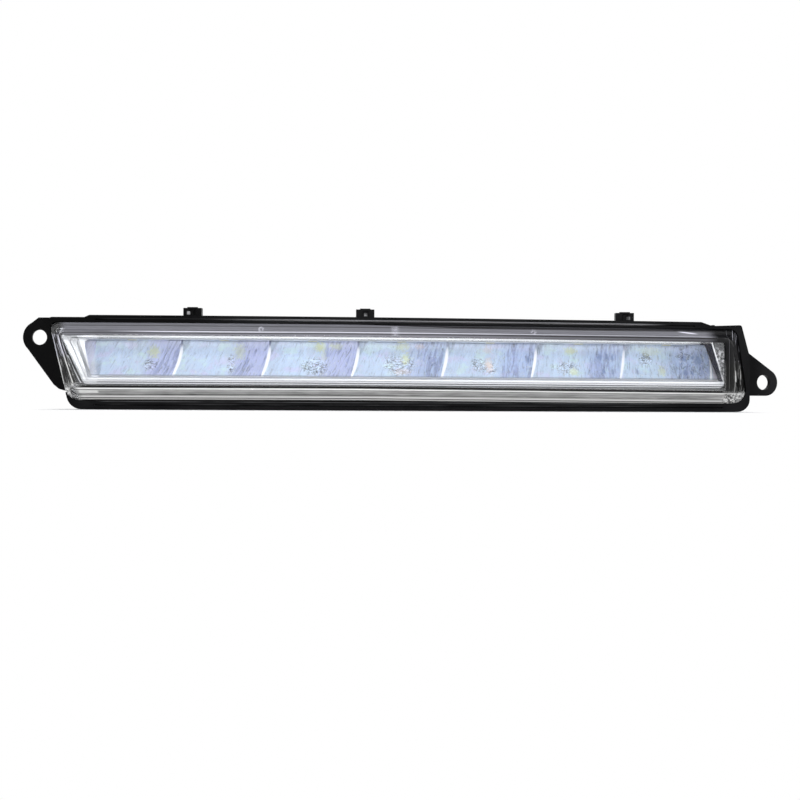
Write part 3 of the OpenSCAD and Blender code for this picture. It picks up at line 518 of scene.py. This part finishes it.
def lens_finish():
    material, w = new_material("clear_plastic")
    s = LensPlace(w)
    # Painted shadow: a black line on the face where the gap behind it lies in shade.
    black = line(s.low, GAP_SHADOW_HEIGHT, 0.52, 0.22) * step(s.from_face, 2, 6) * until(s.x, 403, 405)
    left, left_tone = left_end(s)
    right, right_tone = right_end(s)
    tone = with_marks(s, blend(s.is_upper, lower_band(s), upper_band(s)))
    for share, other in ((black, SHADOW_TONE), (left, left_tone), (right, right_tone), corner_mottle(s)):
        tone = blend(share, tone, other)
    colour = colour_mix(1.0, grey(at_least(tone, SHADOW_TONE)), colour_mix(s.is_upper * 0.9, WARM, COOL),
                        "MULTIPLY")
    ripple = noise(place(w), 60, 2, stretch=(0.3, 1, 1))
    glass = principled(w, Base_Color=(0.97, 0.98, 1, 1), Roughness=0.015, IOR=1.47,
                       Transmission_Weight=1.0, Normal=bump(ripple, 0.00004))
    # A grey shader that carries the painted reflections of the bands.
    band_shader = principled(w, Base_Color=colour, Roughness=0.22, Specular_IOR_Level=0.2)
    body = w.make("ShaderNodeMixShader", {}, {0: band_cover_of(s, black, left, right), 1: glass, 2: band_shader})
    shadow_ray = w.make("ShaderNodeLightPath", out=SHADOW_RAY)
    through = w.make("ShaderNodeBsdfTransparent", {}, {"Color": (0.95, 0.96, 0.98, 1)})
    finish_with(w, w.make("ShaderNodeMixShader", {}, {0: shadow_ray, 1: body, 2: through}))
    return material


clear_lens = lens_finish()
print("clear lens ready with", len(clear_lens.node_tree.nodes), "shader nodes")

# %% [markdown]
# ## The sill and the left wall of the bezel
# The bezel is a metallised window frame. Its sill is stepped, and each step shows as a thin line of painted
# shade, with one painted highlight among them. A mirror finish would show the studio instead of the steps,
# so the metal is kept half matt and the lines are drawn. The left wall has a fold, and its light is painted:
# whiter inside the fold than outside, with thin lines of painted shade.

# %% Sill and left wall
SILL_LINES = ((-25.35, 0.12, 0.2, 0.34), (-26.5, 0.18, 0.2, 0.55), (-27.75, 0.14, 0.2, 0.3),
              (-23.3, 0.2, 0.3, 0.14), (-22.4, 0.15, 0.3, 0.15), (-24.2, 0.2, 0.25, -0.16))
WALL_LINES = ((3.0, 0.12, 0.25, 0.14), (5.0, 0.12, 0.25, 0.12))
SILL_TONE, WALL_TONE, FOLD_GAIN = 0.6, 0.5, 0.42


class BezelPlace:
    def __init__(self, wire):
        x, depth, height = self.x, self.depth, self.height = straightened(wire)
        self.streaks = noise(place(wire), 22, 4, 0.6, (0.12, 1, 4))
        self.speckle = noise(place(wire), 700, 3, 0.7)
        self.at_left = until(x, 36, 38)
        self.inward = x - (16.1 - (height + 0.2) * 0.5206)
        self.front_right = 396.5 - (height + 0.2) * 0.2921
        self.window_right = 393.9 - (height + 1.3) * 0.37


def sill_and_wall(s):
    # Painted shade lines at the steps of the sill, and one painted highlight line.
    lines = threads(s.height + past(s.x, FALLS_FROM) * 0.0018, SILL_LINES)
    uneven = (s.streaks - 0.5) * 0.16
    sill = SILL_TONE - lines * (1 - s.at_left * 0.6) + uneven
    # Painted light on the left wall: whiter inside its fold, with thin lines of painted shade.
    inside_fold = step(s.x + s.height * 0.33, 24.7, 25.3)
    wall = WALL_TONE + inside_fold * FOLD_GAIN - threads(s.inward, WALL_LINES) + uneven
    return blend(s.at_left * step(s.height, -24.2, -23.2), sill, wall)


print(len(SILL_LINES), "lines on the sill")

# %% [markdown]
# ## The right end and the skirt of the bezel
# At the right a slanted return lies in deep shade and is painted black, with a speckled wedge beside it that
# has one painted highlight along its edge.
# Behind the frame its skirt runs back into the housing, grey below with a line of painted shade along the
# gap, and folded at the left, where the fold is painted white on its lit side and black on its shaded side,
# with a painted highlight line. Separate pieces could stand for them, but the frame is one moulding, so
# they're masks on it.

# %% Right end and skirt
SKIRT_TONE, SKIRT_LINE, DARKEST = 0.3, -28.9, 0.012


def wedge_of(s):
    """How much a point belongs to the wedge, and the wedge's tone."""
    share = step(s.x, s.front_right, s.front_right + 0.3) * until(s.x, 404.3, 404.7) \
        * step(s.height, -25, -23)
    specks = step(s.speckle, 0.45, 0.62) * 0.42 * (1 - step(s.height, -7, -1) * 0.8)
    # A painted highlight along the wedge's left edge.
    edge = line(s.x, s.front_right + 0.7, 0.2, 0.25) * (0.2 + step(s.height, -14, -6) * 0.6)
    return share, specks + 0.05 + edge


def shade_band_of(s):
    """The slanted return, painted black for the deep shade it lies in."""
    # Painted shade: the slanted return is painted black.
    starts = step(s.x + step(s.height, -2.4, -0.8) * 3, s.window_right - 0.5, s.window_right - 0.1)
    return starts * until(s.x, s.front_right - 0.1, s.front_right + 0.4) * step(s.height, -24.2, -23.4)


def skirt_of(s):
    """How much a point belongs to the skirt, and the skirt's tone."""
    # Painted shade along the gap, and a fold painted white where lit and black where shaded, with a
    # highlight line.
    plain = (s.streaks - 0.5) * 0.2 + SKIRT_TONE - line(s.height, SKIRT_LINE, 0.75, 0.25) * 0.3
    folded = step(s.inward, -2.2, -1.7) * 0.9 + 0.05 + line(s.inward, -4.4, 0.2, 0.3) * 0.8
    tone = blend(s.at_left * step(s.height, -28, -27), plain, folded)
    return step(s.depth, 9.4, 9.9), at_least(tone, DARKEST)


print("bezel parts ready")

# %% [markdown]
# ## The bright bezel
# All the parts come together here. Under the top edge a reveal catches the front light, and a painted
# highlight makes it a white strip. The slot between the rim and the lens at the right is unlit, and that
# shade is painted as a darker tone. The painted shade on the return has a matt shader of its own, because
# even a black mirror would reflect the white room.

# %% Bezel
BRIGHTEST, SHADE_BAND_TONE = 0.96, 0.008


def bezel_finish():
    material, w = new_material("bezel_bright")
    s = BezelPlace(w)
    # Painted highlight: the reveal under the top edge is lightened into a white strip.
    reveal = line(s.height, -0.6, 1.0, 0.4) * until(s.depth, 9, 10) * until(s.x, 380, 392)
    top_right = step(s.height, -3, -2) * step(s.x, 393, 399)
    band, skirt = shade_band_of(s), skirt_of(s)
    tone = sill_and_wall(s) * (1 - top_right * 0.94) + reveal * 0.3 * step(s.x, 40, 90)
    for share, other in (wedge_of(s), (band, SHADE_BAND_TONE), skirt):
        tone = blend(share, tone, other)
    # Painted shade in the unlit slot at the right end, and past it.
    slot = step(s.depth, 5.2, 6.2) * step(s.x, 404.2, 404.8)
    tone = tone * (1 - either(slot, step(s.x, 404.3, 404.6)) * 0.98)
    shiny = principled(
        w, Base_Color=grey(at_most(tone, BRIGHTEST)), Metallic=0.35 * (1 - either(reveal, skirt[0])),
        Roughness=0.2 + s.streaks * 0.1, Specular_IOR_Level=0.4, Normal=bump(s.streaks, 0.00008))
    matt = principled(w, Base_Color=(0.006, 0.006, 0.016, 1), Roughness=0.5 + s.speckle * 0.2,
                      Specular_IOR_Level=0.03)
    finish_with(w, w.make("ShaderNodeMixShader", {}, {0: band, 1: shiny, 2: matt}))
    return material


bezel_bright = bezel_finish()
print("bezel finish ready")

# %% [markdown]
# ## Where a point lies in the cells
# Seven cells stand in a row. Each is a bright bowl with fine flutes that lean with its ridges. Every cell
# could have a finish of its own, but they differ only in their reflections. So a point knows the number of
# its cell, how far across it is and how far down, and the noises change with that number.

# %% Cell places
FIRST, PITCH, LEAN, CELL_HEIGHT = 32.2, 52.56, 4.0, 23.15


class CellPlace:
    def __init__(self, wire):
        x, _, height = straightened(wire)
        self.x, self.height = x, height
        self.down = down = wire.maths("MULTIPLY", height, -1 / CELL_HEIGHT, clamp=True)
        self.turned = (x - FIRST + (down ** 2.2) * LEAN) / PITCH
        self.number = number = self.turned.maths("FLOOR", self.turned)
        self.across = self.turned - number
        self.middle = step(self.turned, 0.5, 0.6) * until(self.turned, 6.5, 6.6)
        self.to_right = step(x, 195, 245)
        tilt = 0.42 - step(x, 60, 380) * 0.36
        lane = vector(x - height * tilt, height * 0.16, number * 7)
        self.flutes = noise(lane, 0.42, 3, 0.6, bend=1.0)
        self.threads = noise(lane, 0.95, 2, 0.6, bend=1.4)
        # Dark streaks along the flutes, painted as reflection and shade.
        self.dark_streaks = step(noise(lane, 0.27, 2, 0.5, bend=1.8), 0.47, 0.6)
        self.specks = noise(vector(x, height, number * 5), 0.75, 3, 0.65, bend=1.8)
        self.curls = noise(vector(x * 0.36, height * 0.36, number * 9), 1.0, 2, 0.5, bend=2.5)
        self.late = step(self.across + (self.specks - 0.5) * 0.25, 0.54, 0.72)


def within(s, spot, blur):
    """Distance from a patch's middle as a share of its half width and half height, blurred."""
    x, height, half_width, half_height = spot[:4]
    return s.x.maths("SQRT", ((s.x - x) / half_width) ** 2.0 + ((s.height - height) / half_height) ** 2.0) \
        + blur


print("cells", PITCH, "mm apart")

# %% [markdown]
# ## The tints of the cells
# The bowls mirror pale blues and lavenders, and these reflections are painted as tints. Each cell turns
# bluer towards its right ridge, the row turns darker towards the right end, and the tops of the bowls are
# painted lighter against the shade under the lip. A real mirror would need the very room of the photograph
# round it, so the tints are mixed one after the other, from the widest patches to the finest.

# %% Cell tints
LAVENDER, PALE_BLUE, PALE_GREEN = (0.78, 0.81, 1.0), (0.73, 0.85, 1.0), (0.77, 0.93, 0.96)
LEFT_VIOLET, RIGHT_BLUE, TEAL = (0.62, 0.64, 0.9), (0.46, 0.55, 0.78), (0.55, 0.68, 0.8)
END_BLUE, DARK_STREAK_BLUE, NEAR_WHITE = (0.36, 0.44, 0.62), (0.40, 0.46, 0.72), (0.97, 0.98, 1.0)


def cell_reflection_tint(s):
    wander = noise(vector(s.x * 0.045, s.height * 0.06, s.number * 3), 2.0, 3, 0.55)
    # Painted reflections as tints, with painted light at the tops of the bowls.
    tint = colour_mix(step(wander, 0.34, 0.48), LAVENDER, PALE_BLUE)
    for share, colour in ((step(wander, 0.52, 0.66), PALE_GREEN),
                          (s.late * (1 - s.to_right) * 0.75, LEFT_VIOLET),
                          (s.late * s.to_right * 0.5, RIGHT_BLUE),
                          (step(s.x, 280, 390) * 0.34, TEAL),
                          (step(s.x, 366, 384) * 0.5, END_BLUE),
                          (s.dark_streaks * s.late * 0.6, DARK_STREAK_BLUE),
                          (until(s.down, 0.0, 0.4) * 0.35, NEAR_WHITE)):
        tint = colour_mix(share, tint, colour)
    return tint


print("cell tints ready")

# %% [markdown]
# ## Light and shade in the cells
# The flutes break the light into leaning streaks, and in places they fold a reflection into dark
# squiggles. The shade to the right of each ridge is the bowl turning away. Streaks could come from the
# bump alone, but under a lens and at this size they'd be too weak, so they're drawn as tones as well.

# %% Cell light
SQUIGGLES = ((66, -16, 5, 4.5), (114, -15, 3, 8), (163.5, -16.5, 10, 6.5), (214, -15.5, 11.5, 7.5),
             (261, -14.5, 5, 5.5), (268, -17, 4, 5), (313, -16, 9, 5), (361, -10, 5, 5.5),
             (384, -7.5, 5, 3.5))
PLAIN_LIGHT, LEAST_LIGHT, MOST_LIGHT = 1.04, 0.1, 1.02


def squiggle_share(s):
    share = 0
    for spot in SQUIGGLES:
        share = until(within(s, spot, (s.flutes - 0.5) * 0.8), 0.5, 1.05) + share
    return at_most(share, 1)


def cell_light(s, squiggled):
    blotched = step(noise(vector(s.x * 0.4, s.height * 0.2, s.number * 4), 1.0, 2, 0.5, bend=1.5),
                    0.53, 0.62)
    busy = either(s.late, step(s.x, 280, 340)) * 0.35 + 0.65
    ripples = noise(vector(s.x * 0.17, s.height * 0.42, s.number * 5), 1.0, 2, 0.5, bend=2.0)
    folds = either(line(ripples, 0.5, 0.024, 0.025), line(s.curls, 0.53, 0.02, 0.022))
    right_of_ridge = step(s.across, 0.004, 0.01) * until(s.across * PITCH + s.down * 10, 4.6, 6.4)
    first_shade = line(s.x, 33.6, 2.6, 1.0) * step(s.down, 0.5, 0.75)
    # Painted light and shade: streaks along the flutes, dark squiggles and the shade right of each ridge.
    light = PLAIN_LIGHT + (s.flutes - 0.5) * 0.5 + (s.specks - 0.5) * 1.05 \
        - blotched * (step(s.x, 368, 380) * 0.26 + s.late * s.to_right * 0.1) \
        - s.dark_streaks * (0.07 + s.late * 0.1) \
        - step(s.threads, 0.55, 0.65) * 0.36 * busy - step(s.specks, 0.6, 0.7) * 0.2 * busy \
        + squiggled * 0.12 - folds * squiggled * 0.9 \
        - right_of_ridge * s.middle * 0.28 - first_shade * 0.34
    return at_most(at_least(light, LEAST_LIGHT), MOST_LIGHT)


print(len(SQUIGGLES), "places with squiggles")

# %% [markdown]
# ## Package reflections and blotches
# The packages above the cells show as soft yellow patches, some of them nearer to peach, which are painted
# reflections of the packages, and at the right dark blue blotches lie in the flutes. The yellow could come
# from the packages themselves, but only where a mirror is turned exactly towards them. Each patch is an
# ellipse with a rim torn by noise.

# %% Package reflections and blotches
YELLOW, PEACH, DARK_BLUE = (0.80, 0.84, 0.52), (0.93, 0.76, 0.66), (0.17, 0.23, 0.42)
PACKAGE_REFLECTIONS = ((67.5, -8.0, 4.2, 4.4, 0.9, YELLOW), (119, -7.5, 4.4, 5.8, 0.55, YELLOW),
         (166.7, -4.2, 3.8, 3.2, 1.0, YELLOW), (176.3, -3.9, 4.5, 2.7, 0.65, YELLOW),
         (169, -9.5, 2.0, 4.0, 0.4, YELLOW), (216, -3.6, 5.0, 2.6, 0.6, YELLOW),
         (217.8, -11.1, 2.7, 4.2, 0.8, YELLOW), (226.5, -3.2, 3.0, 2.0, 0.5, PEACH),
         (266.5, -5.0, 3.4, 2.6, 0.4, PEACH), (267, -15.0, 2.6, 5.2, 0.8, PEACH),
         (216, -19.5, 6.5, 2.4, 0.4, PEACH), (316, -5.0, 4.0, 2.8, 0.85, YELLOW),
         (317.5, -18.5, 2.8, 3.0, 0.7, YELLOW), (364, -5.0, 7.0, 4.0, 0.4, YELLOW),
         (370.5, -17.5, 2.7, 3.8, 0.6, YELLOW))
BLOTCHES = ((290.2, -11, 0.8, 2.6), (333.3, -9, 1.3, 2.4), (337.4, -9, 0.9, 2.2), (340.6, -9.5, 0.9, 2.6),
            (340, -18.5, 1.0, 2.5), (335, -18, 0.8, 2.0), (384.4, -9, 1.5, 2.2), (389.4, -8.6, 1.0, 1.6),
            (392.9, -10.5, 2.0, 3.2), (384.2, -18.8, 1.6, 2.4), (388, -18.8, 1.0, 1.8), (355, -18, 0.8, 2.2))
PACKAGE_REFLECTION_STRENGTH, BLOTCH_STRENGTH = 0.85, 0.62


def with_spots(s, colour):
    torn = (s.specks - 0.5) * 2.4 + (s.curls - 0.5) * 1.2
    # Painted reflections of the light packages.
    for spot in PACKAGE_REFLECTIONS:
        strength, reflected_colour = spot[4:]
        soft = until(within(s, spot, torn), 0.4, 1.1)
        colour = colour_mix(soft * strength * PACKAGE_REFLECTION_STRENGTH, colour, reflected_colour)
    for spot in BLOTCHES:
        soft = until(within(s, spot, (s.threads - 0.5) * 2.5), 0.5, 1.3)
        colour = colour_mix(soft * BLOTCH_STRENGTH, colour, DARK_BLUE)
    return colour


print(len(PACKAGE_REFLECTIONS), "glows and", len(BLOTCHES), "blotches")

# %% [markdown]
# ## Ridges and edges of the cells
# A ridge between two cells ends in a rounded crest that shines white, wider in the middle than at its
# ends, with a dark line at its top. Thin dark lines run along the row's lower and upper edge. The crests
# are there in the mesh, and the drawn light only follows them: the white on them is a painted highlight.

# %% Ridges and edges
END_OF_ROW, END_BULGE = 397.9, 1.6
BEYOND, RIM_WHITE = (0.72, 0.70, 0.78), (0.95, 0.94, 1.0)
CREST_TOP_DARK, EDGE = (0.12, 0.13, 0.22), (0.16, 0.18, 0.24)
LOWER_LINE, UPPER_LINE = -22.3, -0.9


def with_ridges(s, colour):
    """The finished colour, and the places that are too bright to be metal."""
    near = PITCH * (0.5 - abs(s.across - 0.5))
    end = s.x - (END_OF_ROW + END_BULGE * s.x.maths("SINE", s.down * math.pi))
    waist = (0.15 + 0.65 * line(s.down, 0.56, 0.14, 0.42)) * (1 - step(s.x, 250, 330) * 0.25)
    # Painted highlight along each crest.
    crest = either(until(near - waist, 0, 0.45) * s.middle * step(s.down, 0.08, 0.3),
                   line(end, 0, 0.4, 0.4) * step(s.down, 0.15, 0.5))
    # A dark line at the top of each crest.
    dark_crest_top = line(near, 0.1, 0.35, 0.3) * s.middle * until(s.down, 0.1, 0.24) \
        * (1 - step(s.x, 150, 260) * 0.45)
    left_rim = until(s.x - 27.5 + s.height * 0.2 + (s.specks - 0.5) * 5, 0.8, 4.0)
    dashes = step(noise(vector(s.x * 0.03, s.height * 0, s.number * 2), 1.2, 2), 0.42, 0.55)
    edges = either(line(s.height, LOWER_LINE, 0.2, 0.25) * 0.55,
                   line(s.height, UPPER_LINE, 0.2, 0.2) * dashes * 0.5)
    for share, other in ((step(end, 0.6, 1.2), BEYOND), (left_rim * 0.6, RIM_WHITE), (crest, NEAR_WHITE),
                         (dark_crest_top * 0.8, CREST_TOP_DARK), (edges, EDGE)):
        colour = colour_mix(share, colour, other)
    return colour, either(crest, left_rim)


print("ridges ready")

# %% [markdown]
# ## The fluted cells
# The tint, the light and the marks are laid over each other here. The metal is kept weak, and left out
# altogether where the bowl is white, because a strong mirror would take its colour from the room and hide
# the drawn one. The flutes also go into a shallow bump, so highlights break up along them.

# %% Cells
SPARKLE = (0.94, 0.97, 1.0)


def cell_finish():
    material, w = new_material("cell_bright")
    s = CellPlace(w)
    squiggled = squiggle_share(s)
    colour = colour_mix(1.0, cell_reflection_tint(s), grey(cell_light(s, squiggled)), "MULTIPLY")
    colour = colour_mix(step(1 - s.specks, 0.55, 0.66) * 0.6, colour, SPARKLE)
    colour, white = with_ridges(s, with_spots(s, colour))
    finish_with(w, principled(
        w, Base_Color=colour, Metallic=0.4 * (1 - either(white, squiggled, until(s.down, 0.02, 0.3))),
        Roughness=0.34, Specular_IOR_Level=0.4, Normal=bump(s.flutes * 0.6 + s.threads * 0.4, 0.0005, 0.5)))
    return material


cell_bright = cell_finish()
print("cell finish ready with", len(cell_bright.node_tree.nodes), "shader nodes")

# %% [markdown]
# ## Metals
# The heat sink keeps the long die lines of its extrusion, the screws their zinc plating and the
# capacitors a drawn can. A plain metal shader would look like chrome, so a stretched ripple gives each
# its working marks, and a dull cloud breaks up the shine.

# %% Metals
DULL_SHARE = 0.82


def metal(name, colour, rough, ripple_height, ripple_scale, stretch=(1, 1, 1)):
    material, w = new_material(name)
    p = place(w)
    ripple = noise(p, ripple_scale, 3, stretch=stretch)
    dull = noise(p, 120, 4)
    tone = colour_mix(step(dull, 0.35, 0.7), tuple(c * DULL_SHARE for c in colour), colour)
    finish_with(w, principled(w, Base_Color=tone, Metallic=1.0, Roughness=rough + (dull - 0.5) * 0.15,
                              Normal=bump(ripple, ripple_height)))
    return material


steel = metal("steel", (0.62, 0.62, 0.6), 0.3, 0.00002, 900)
aluminium = metal("aluminium", (0.75, 0.76, 0.78), 0.35, 0.00003, 1500, (0.05, 1, 1))
brass = metal("brass", (0.85, 0.66, 0.3), 0.22, 0.00001, 900)
can_metal = metal("can_metal", (0.7, 0.72, 0.75), 0.25, 0.00001, 700, (1, 0.1, 1))
print("metals ready")

# %% [markdown]
# ## The coil's winding
# The coil's enamelled copper runs round its core in close turns. Each turn could be a ring of its own, but
# the coil is hidden and small. A saw tooth along its axis, used as a bump, reads as turns.

# %% Winding
TURNS_PER_MM = 2.2
DARK_COPPER, LIGHT_COPPER = (0.42, 0.16, 0.06), (0.6, 0.27, 0.12)


def winding_finish():
    material, w = new_material("winding")
    p = place(w)
    along = axes(p)[1] * MM * TURNS_PER_MM
    turn = abs(along.maths("FRACT", along) - 0.5) * 2
    colour = colour_mix(step(noise(p, 300, 3), 0.3, 0.7), DARK_COPPER, LIGHT_COPPER)
    finish_with(w, principled(w, Base_Color=colour, Metallic=0.7, Roughness=0.3,
                              Normal=bump(turn, 0.0002)))
    return material


copper = winding_finish()
print("winding ready,", TURNS_PER_MM, "turns to the millimetre")

# %% [markdown]
# ## Boards and packages
# The driver board is green, with copper tracks under its mask. Tracks could be drawn one by one, but
# nobody reads them, so they come from noise that is snapped to a grid. The light packages are white cases
# with a round field of pale yellow phosphor that faces the cells.

# %% Boards and packages
TRACK_GRID = 1.6
MASK_GREEN, TRACK_GREEN = (0.008, 0.07, 0.025), (0.02, 0.17, 0.06)
CASE_WHITE, PHOSPHOR = (0.8, 0.8, 0.77), (0.84, 0.79, 0.45)


def board_finish():
    material, w = new_material("board_green")
    p = place(w)
    x, _, z = [value * MM / TRACK_GRID for value in axes(p)]
    which = noise(vector(x.maths("FLOOR", x), z * 0, z.maths("FLOOR", z)), 3.1, 0)
    in_x, in_z = [abs(value.maths("FRACT", value) - 0.5) for value in (x, z)]
    track = either(until(in_x, 0.12, 0.18) * step(which, 0.5, 0.52),
                   until(in_z, 0.12, 0.18) * until(which, 0.44, 0.46))
    cloud = noise(p, 200, 3)
    finish_with(w, principled(w, Base_Color=colour_mix(track, MASK_GREEN, TRACK_GREEN),
                              Roughness=0.3 + (cloud - 0.5) * 0.2, Normal=bump(track, 0.00004)))
    return material


def package_finish():
    material, w = new_material("package")
    height = straightened(w)[2]
    grain = noise(place(w), 1800, 2)
    colour = colour_mix(until(height, 0.12, 0.2) * 0.9, CASE_WHITE, PHOSPHOR)
    finish_with(w, principled(w, Base_Color=colour, Roughness=0.35 + (grain - 0.5) * 0.2,
                              Normal=bump(grain, 0.00001)))
    return material


board_green = board_finish()
package = package_finish()
print("boards ready")

# %% [markdown]
# ## Dress the nodes
# Every separate piece of the lamp is a node of the CAD model, and each gets one finish. The finishes could
# be picked by hand in the properties panel, but a table shows at a glance what each piece is made of.

# %% Dress the nodes
PACKAGES = 7
looks = {
    "housing": housing_plastic, "lens_seal": rubber, "outer_lens": clear_lens, "bezel": bezel_bright,
    "reflector": cell_bright, "reflector_screws": steel, "led_board": board_white, "heat_sink": aluminium,
    "heat_sink_screws": steel, "driver_board": board_green, "control_chip": chip_plastic,
    "power_coil": copper, "filter_capacitors": can_metal, "board_screws": steel,
    "driver_cover": cover_plastic, "cover_gasket": rubber, "cover_screws": steel,
    "connector_socket": socket_plastic, "connector_seal": silicone, "connector_pins": brass,
    "lead_positive": red_insulation, "lead_negative": black_insulation, "vent_plug": vent_plastic,
}
looks.update({f"led_{i}": package for i in range(1, PACKAGES + 1)})
for name, material in looks.items():
    nodes[name].data.materials.clear()
    nodes[name].data.materials.append(material)
print("dressed", len(looks), "nodes")

# %% [markdown]
# ## Smooth copies
# The lens, the bezel and the cells are bowed, but their solids are made of flat facets that would show as
# stripes in the shine. More facets would make the mesh heavy. Instead a merged copy of each is shaded
# smooth across every edge that bends less than a given angle, and stays sharp where the moulding has a
# real edge.

# %% Smooth copies
MERGE, DEGENERATE = 0.000002, 0.000001
SMOOTH_BELOW = {"outer_lens": 35, "bezel": 30, "reflector": 12}


def smooth_copy(node, angle):
    mesh = nodes[node].data.copy()
    work = bmesh.new()
    work.from_mesh(mesh)
    bmesh.ops.remove_doubles(work, verts=work.verts, dist=MERGE)
    bmesh.ops.dissolve_degenerate(work, edges=work.edges, dist=DEGENERATE)
    for face in work.faces:
        face.smooth = True
    for edge in work.edges:
        edge.smooth = len(edge.link_faces) == 2 and edge.calc_face_angle(0) < math.radians(angle)
    work.to_mesh(mesh)
    work.free()
    piece = bpy.data.objects.new(node + "_smooth", mesh)
    bpy.context.scene.collection.objects.link(piece)
    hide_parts(node)
    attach(piece, "root")
    return piece


for node, angle in SMOOTH_BELOW.items():
    piece = smooth_copy(node, angle)
    print(piece.name, len(piece.data.polygons), "faces")

# %% [markdown]
# ## The floor
# The lamp rests on a white table. White paint alone would turn grey away from the lights and show where
# the table ends. So near the lamp the table is plain paint that takes its shadow, and farther off it only
# has to look white to the camera, whichever way the ray came.

# %% Floor
FLOOR_HALF, BELOW_LAMP = 6, 0.0002
PAINT, WHITE = (0.93, 0.93, 0.94, 1), (1, 1, 1, 1)

floor_mesh = bpy.data.meshes.new("floor")
work = bmesh.new()
bmesh.ops.create_grid(work, x_segments=1, y_segments=1, size=FLOOR_HALF)
bmesh.ops.translate(work, verts=work.verts, vec=(0.2, 0, cad_box[0][2] - BELOW_LAMP))
work.to_mesh(floor_mesh)
work.free()
floor = bpy.data.objects.new("floor", floor_mesh)
bpy.context.scene.collection.objects.link(floor)
floor_paint, w = new_material("floor_paint")
floor_x, floor_y = axes(place(w))[:2]
beside = past(abs(floor_x - LAMP_MIDDLE), 0.2)
reach = w.maths("SQRT", (beside * 5) ** 2.0 + floor_y ** 2.0)
looked_at = either(*[w.make("ShaderNodeLightPath", out=ray)
                     for ray in (CAMERA_RAY, GLOSSY_RAY, TRANSMISSION_RAY)])
painted = w.make("ShaderNodeBsdfDiffuse", {}, {"Color": PAINT})
white = w.make("ShaderNodeEmission", {}, {"Color": WHITE, "Strength": 1.0})
finish_with(w, w.make("ShaderNodeMixShader", {},
                      {0: looked_at * step(reach, 0.03, 0.08), 1: painted, 2: white}))
floor.data.materials.append(floor_paint)
print("floor at", round(cad_box[0][2] - BELOW_LAMP, 4), "m")

# %% [markdown]
# ## The room
# The photograph was taken in a white room, dim behind the camera, and that dimness is what keeps the black
# plastic black. A picture of a room could be wrapped round the lamp, but three plain tones do: white for
# what the camera sees, white with a dim patch behind the camera for reflections, and a soft fill for the
# rest.

# %% Room
GENERATED_COORDINATES = 0
FILL = (0.97, 0.98, 1, 1)

world = bpy.data.worlds.new("studio")
world.use_nodes = True
world.node_tree.nodes.clear()
w = Wire(world.node_tree)
camera_ray, glossy_ray, transmission_ray = [w.make("ShaderNodeLightPath", out=ray)
                                            for ray in (CAMERA_RAY, GLOSSY_RAY, TRANSMISSION_RAY)]
towards_camera = -1 * axes(w.make("ShaderNodeTexCoord", out=GENERATED_COORDINATES))[1]
dimmed = grey(1 - step(towards_camera, 0.62, 0.88) * 0.9)
reflected = w.make("ShaderNodeBackground", {}, {"Color": dimmed, "Strength": 1.0})
seen = w.make("ShaderNodeBackground", {}, {"Color": WHITE, "Strength": 1.0})
filling = w.make("ShaderNodeBackground", {}, {"Color": FILL, "Strength": 0.6})
unseen = w.make("ShaderNodeMixShader", {}, {0: glossy_ray, 1: filling, 2: reflected})
w.make("ShaderNodeOutputWorld", {}, {"Surface": w.make(
    "ShaderNodeMixShader", {}, {0: either(camera_ray, transmission_ray), 1: unseen, 2: seen})})
bpy.context.scene.world = world
print("room ready")

# %% [markdown]
# ## The softboxes
# Three softboxes light the lamp: a large one high in front, a narrow one low in front that reaches under
# the bezel's lip into the top of the cells, and a weak one overhead. The low one stands where the flat
# face of the lens would mirror it straight into the camera and veil the window, so it's hidden from
# glossy and transmitted rays and gives only its light.

# %% Softboxes
def softbox(name, spot, target, size, power):
    data = bpy.data.lights.new(name, "AREA")
    data.shape = "RECTANGLE"
    data.size, data.size_y = size
    data.energy = power
    lamp = bpy.data.objects.new(name, data)
    lamp.matrix_world = (Matrix.Translation(spot)
                         @ (Vector(spot) - Vector(target)).to_track_quat("Z", "Y").to_matrix().to_4x4())
    bpy.context.scene.collection.objects.link(lamp)
    return lamp


softbox("front_softbox", (LAMP_MIDDLE, -1.3, 0.42), (LAMP_MIDDLE, 0, 0), (1.6, 0.4), 8)
low_softbox = softbox("low_softbox", (LAMP_MIDDLE, -1.25, 0.03), (LAMP_MIDDLE, 0, -0.02), (1.6, 0.13), 8.5)
low_softbox.visible_glossy = low_softbox.visible_transmission = False
softbox("top_softbox", (0.2, -0.3, 0.9), (0.21, 0, 0), (1.2, 0.6), 3)
bpy.context.scene.view_settings.view_transform = "Standard"
print("studio ready with", len(bpy.data.lights), "softboxes")
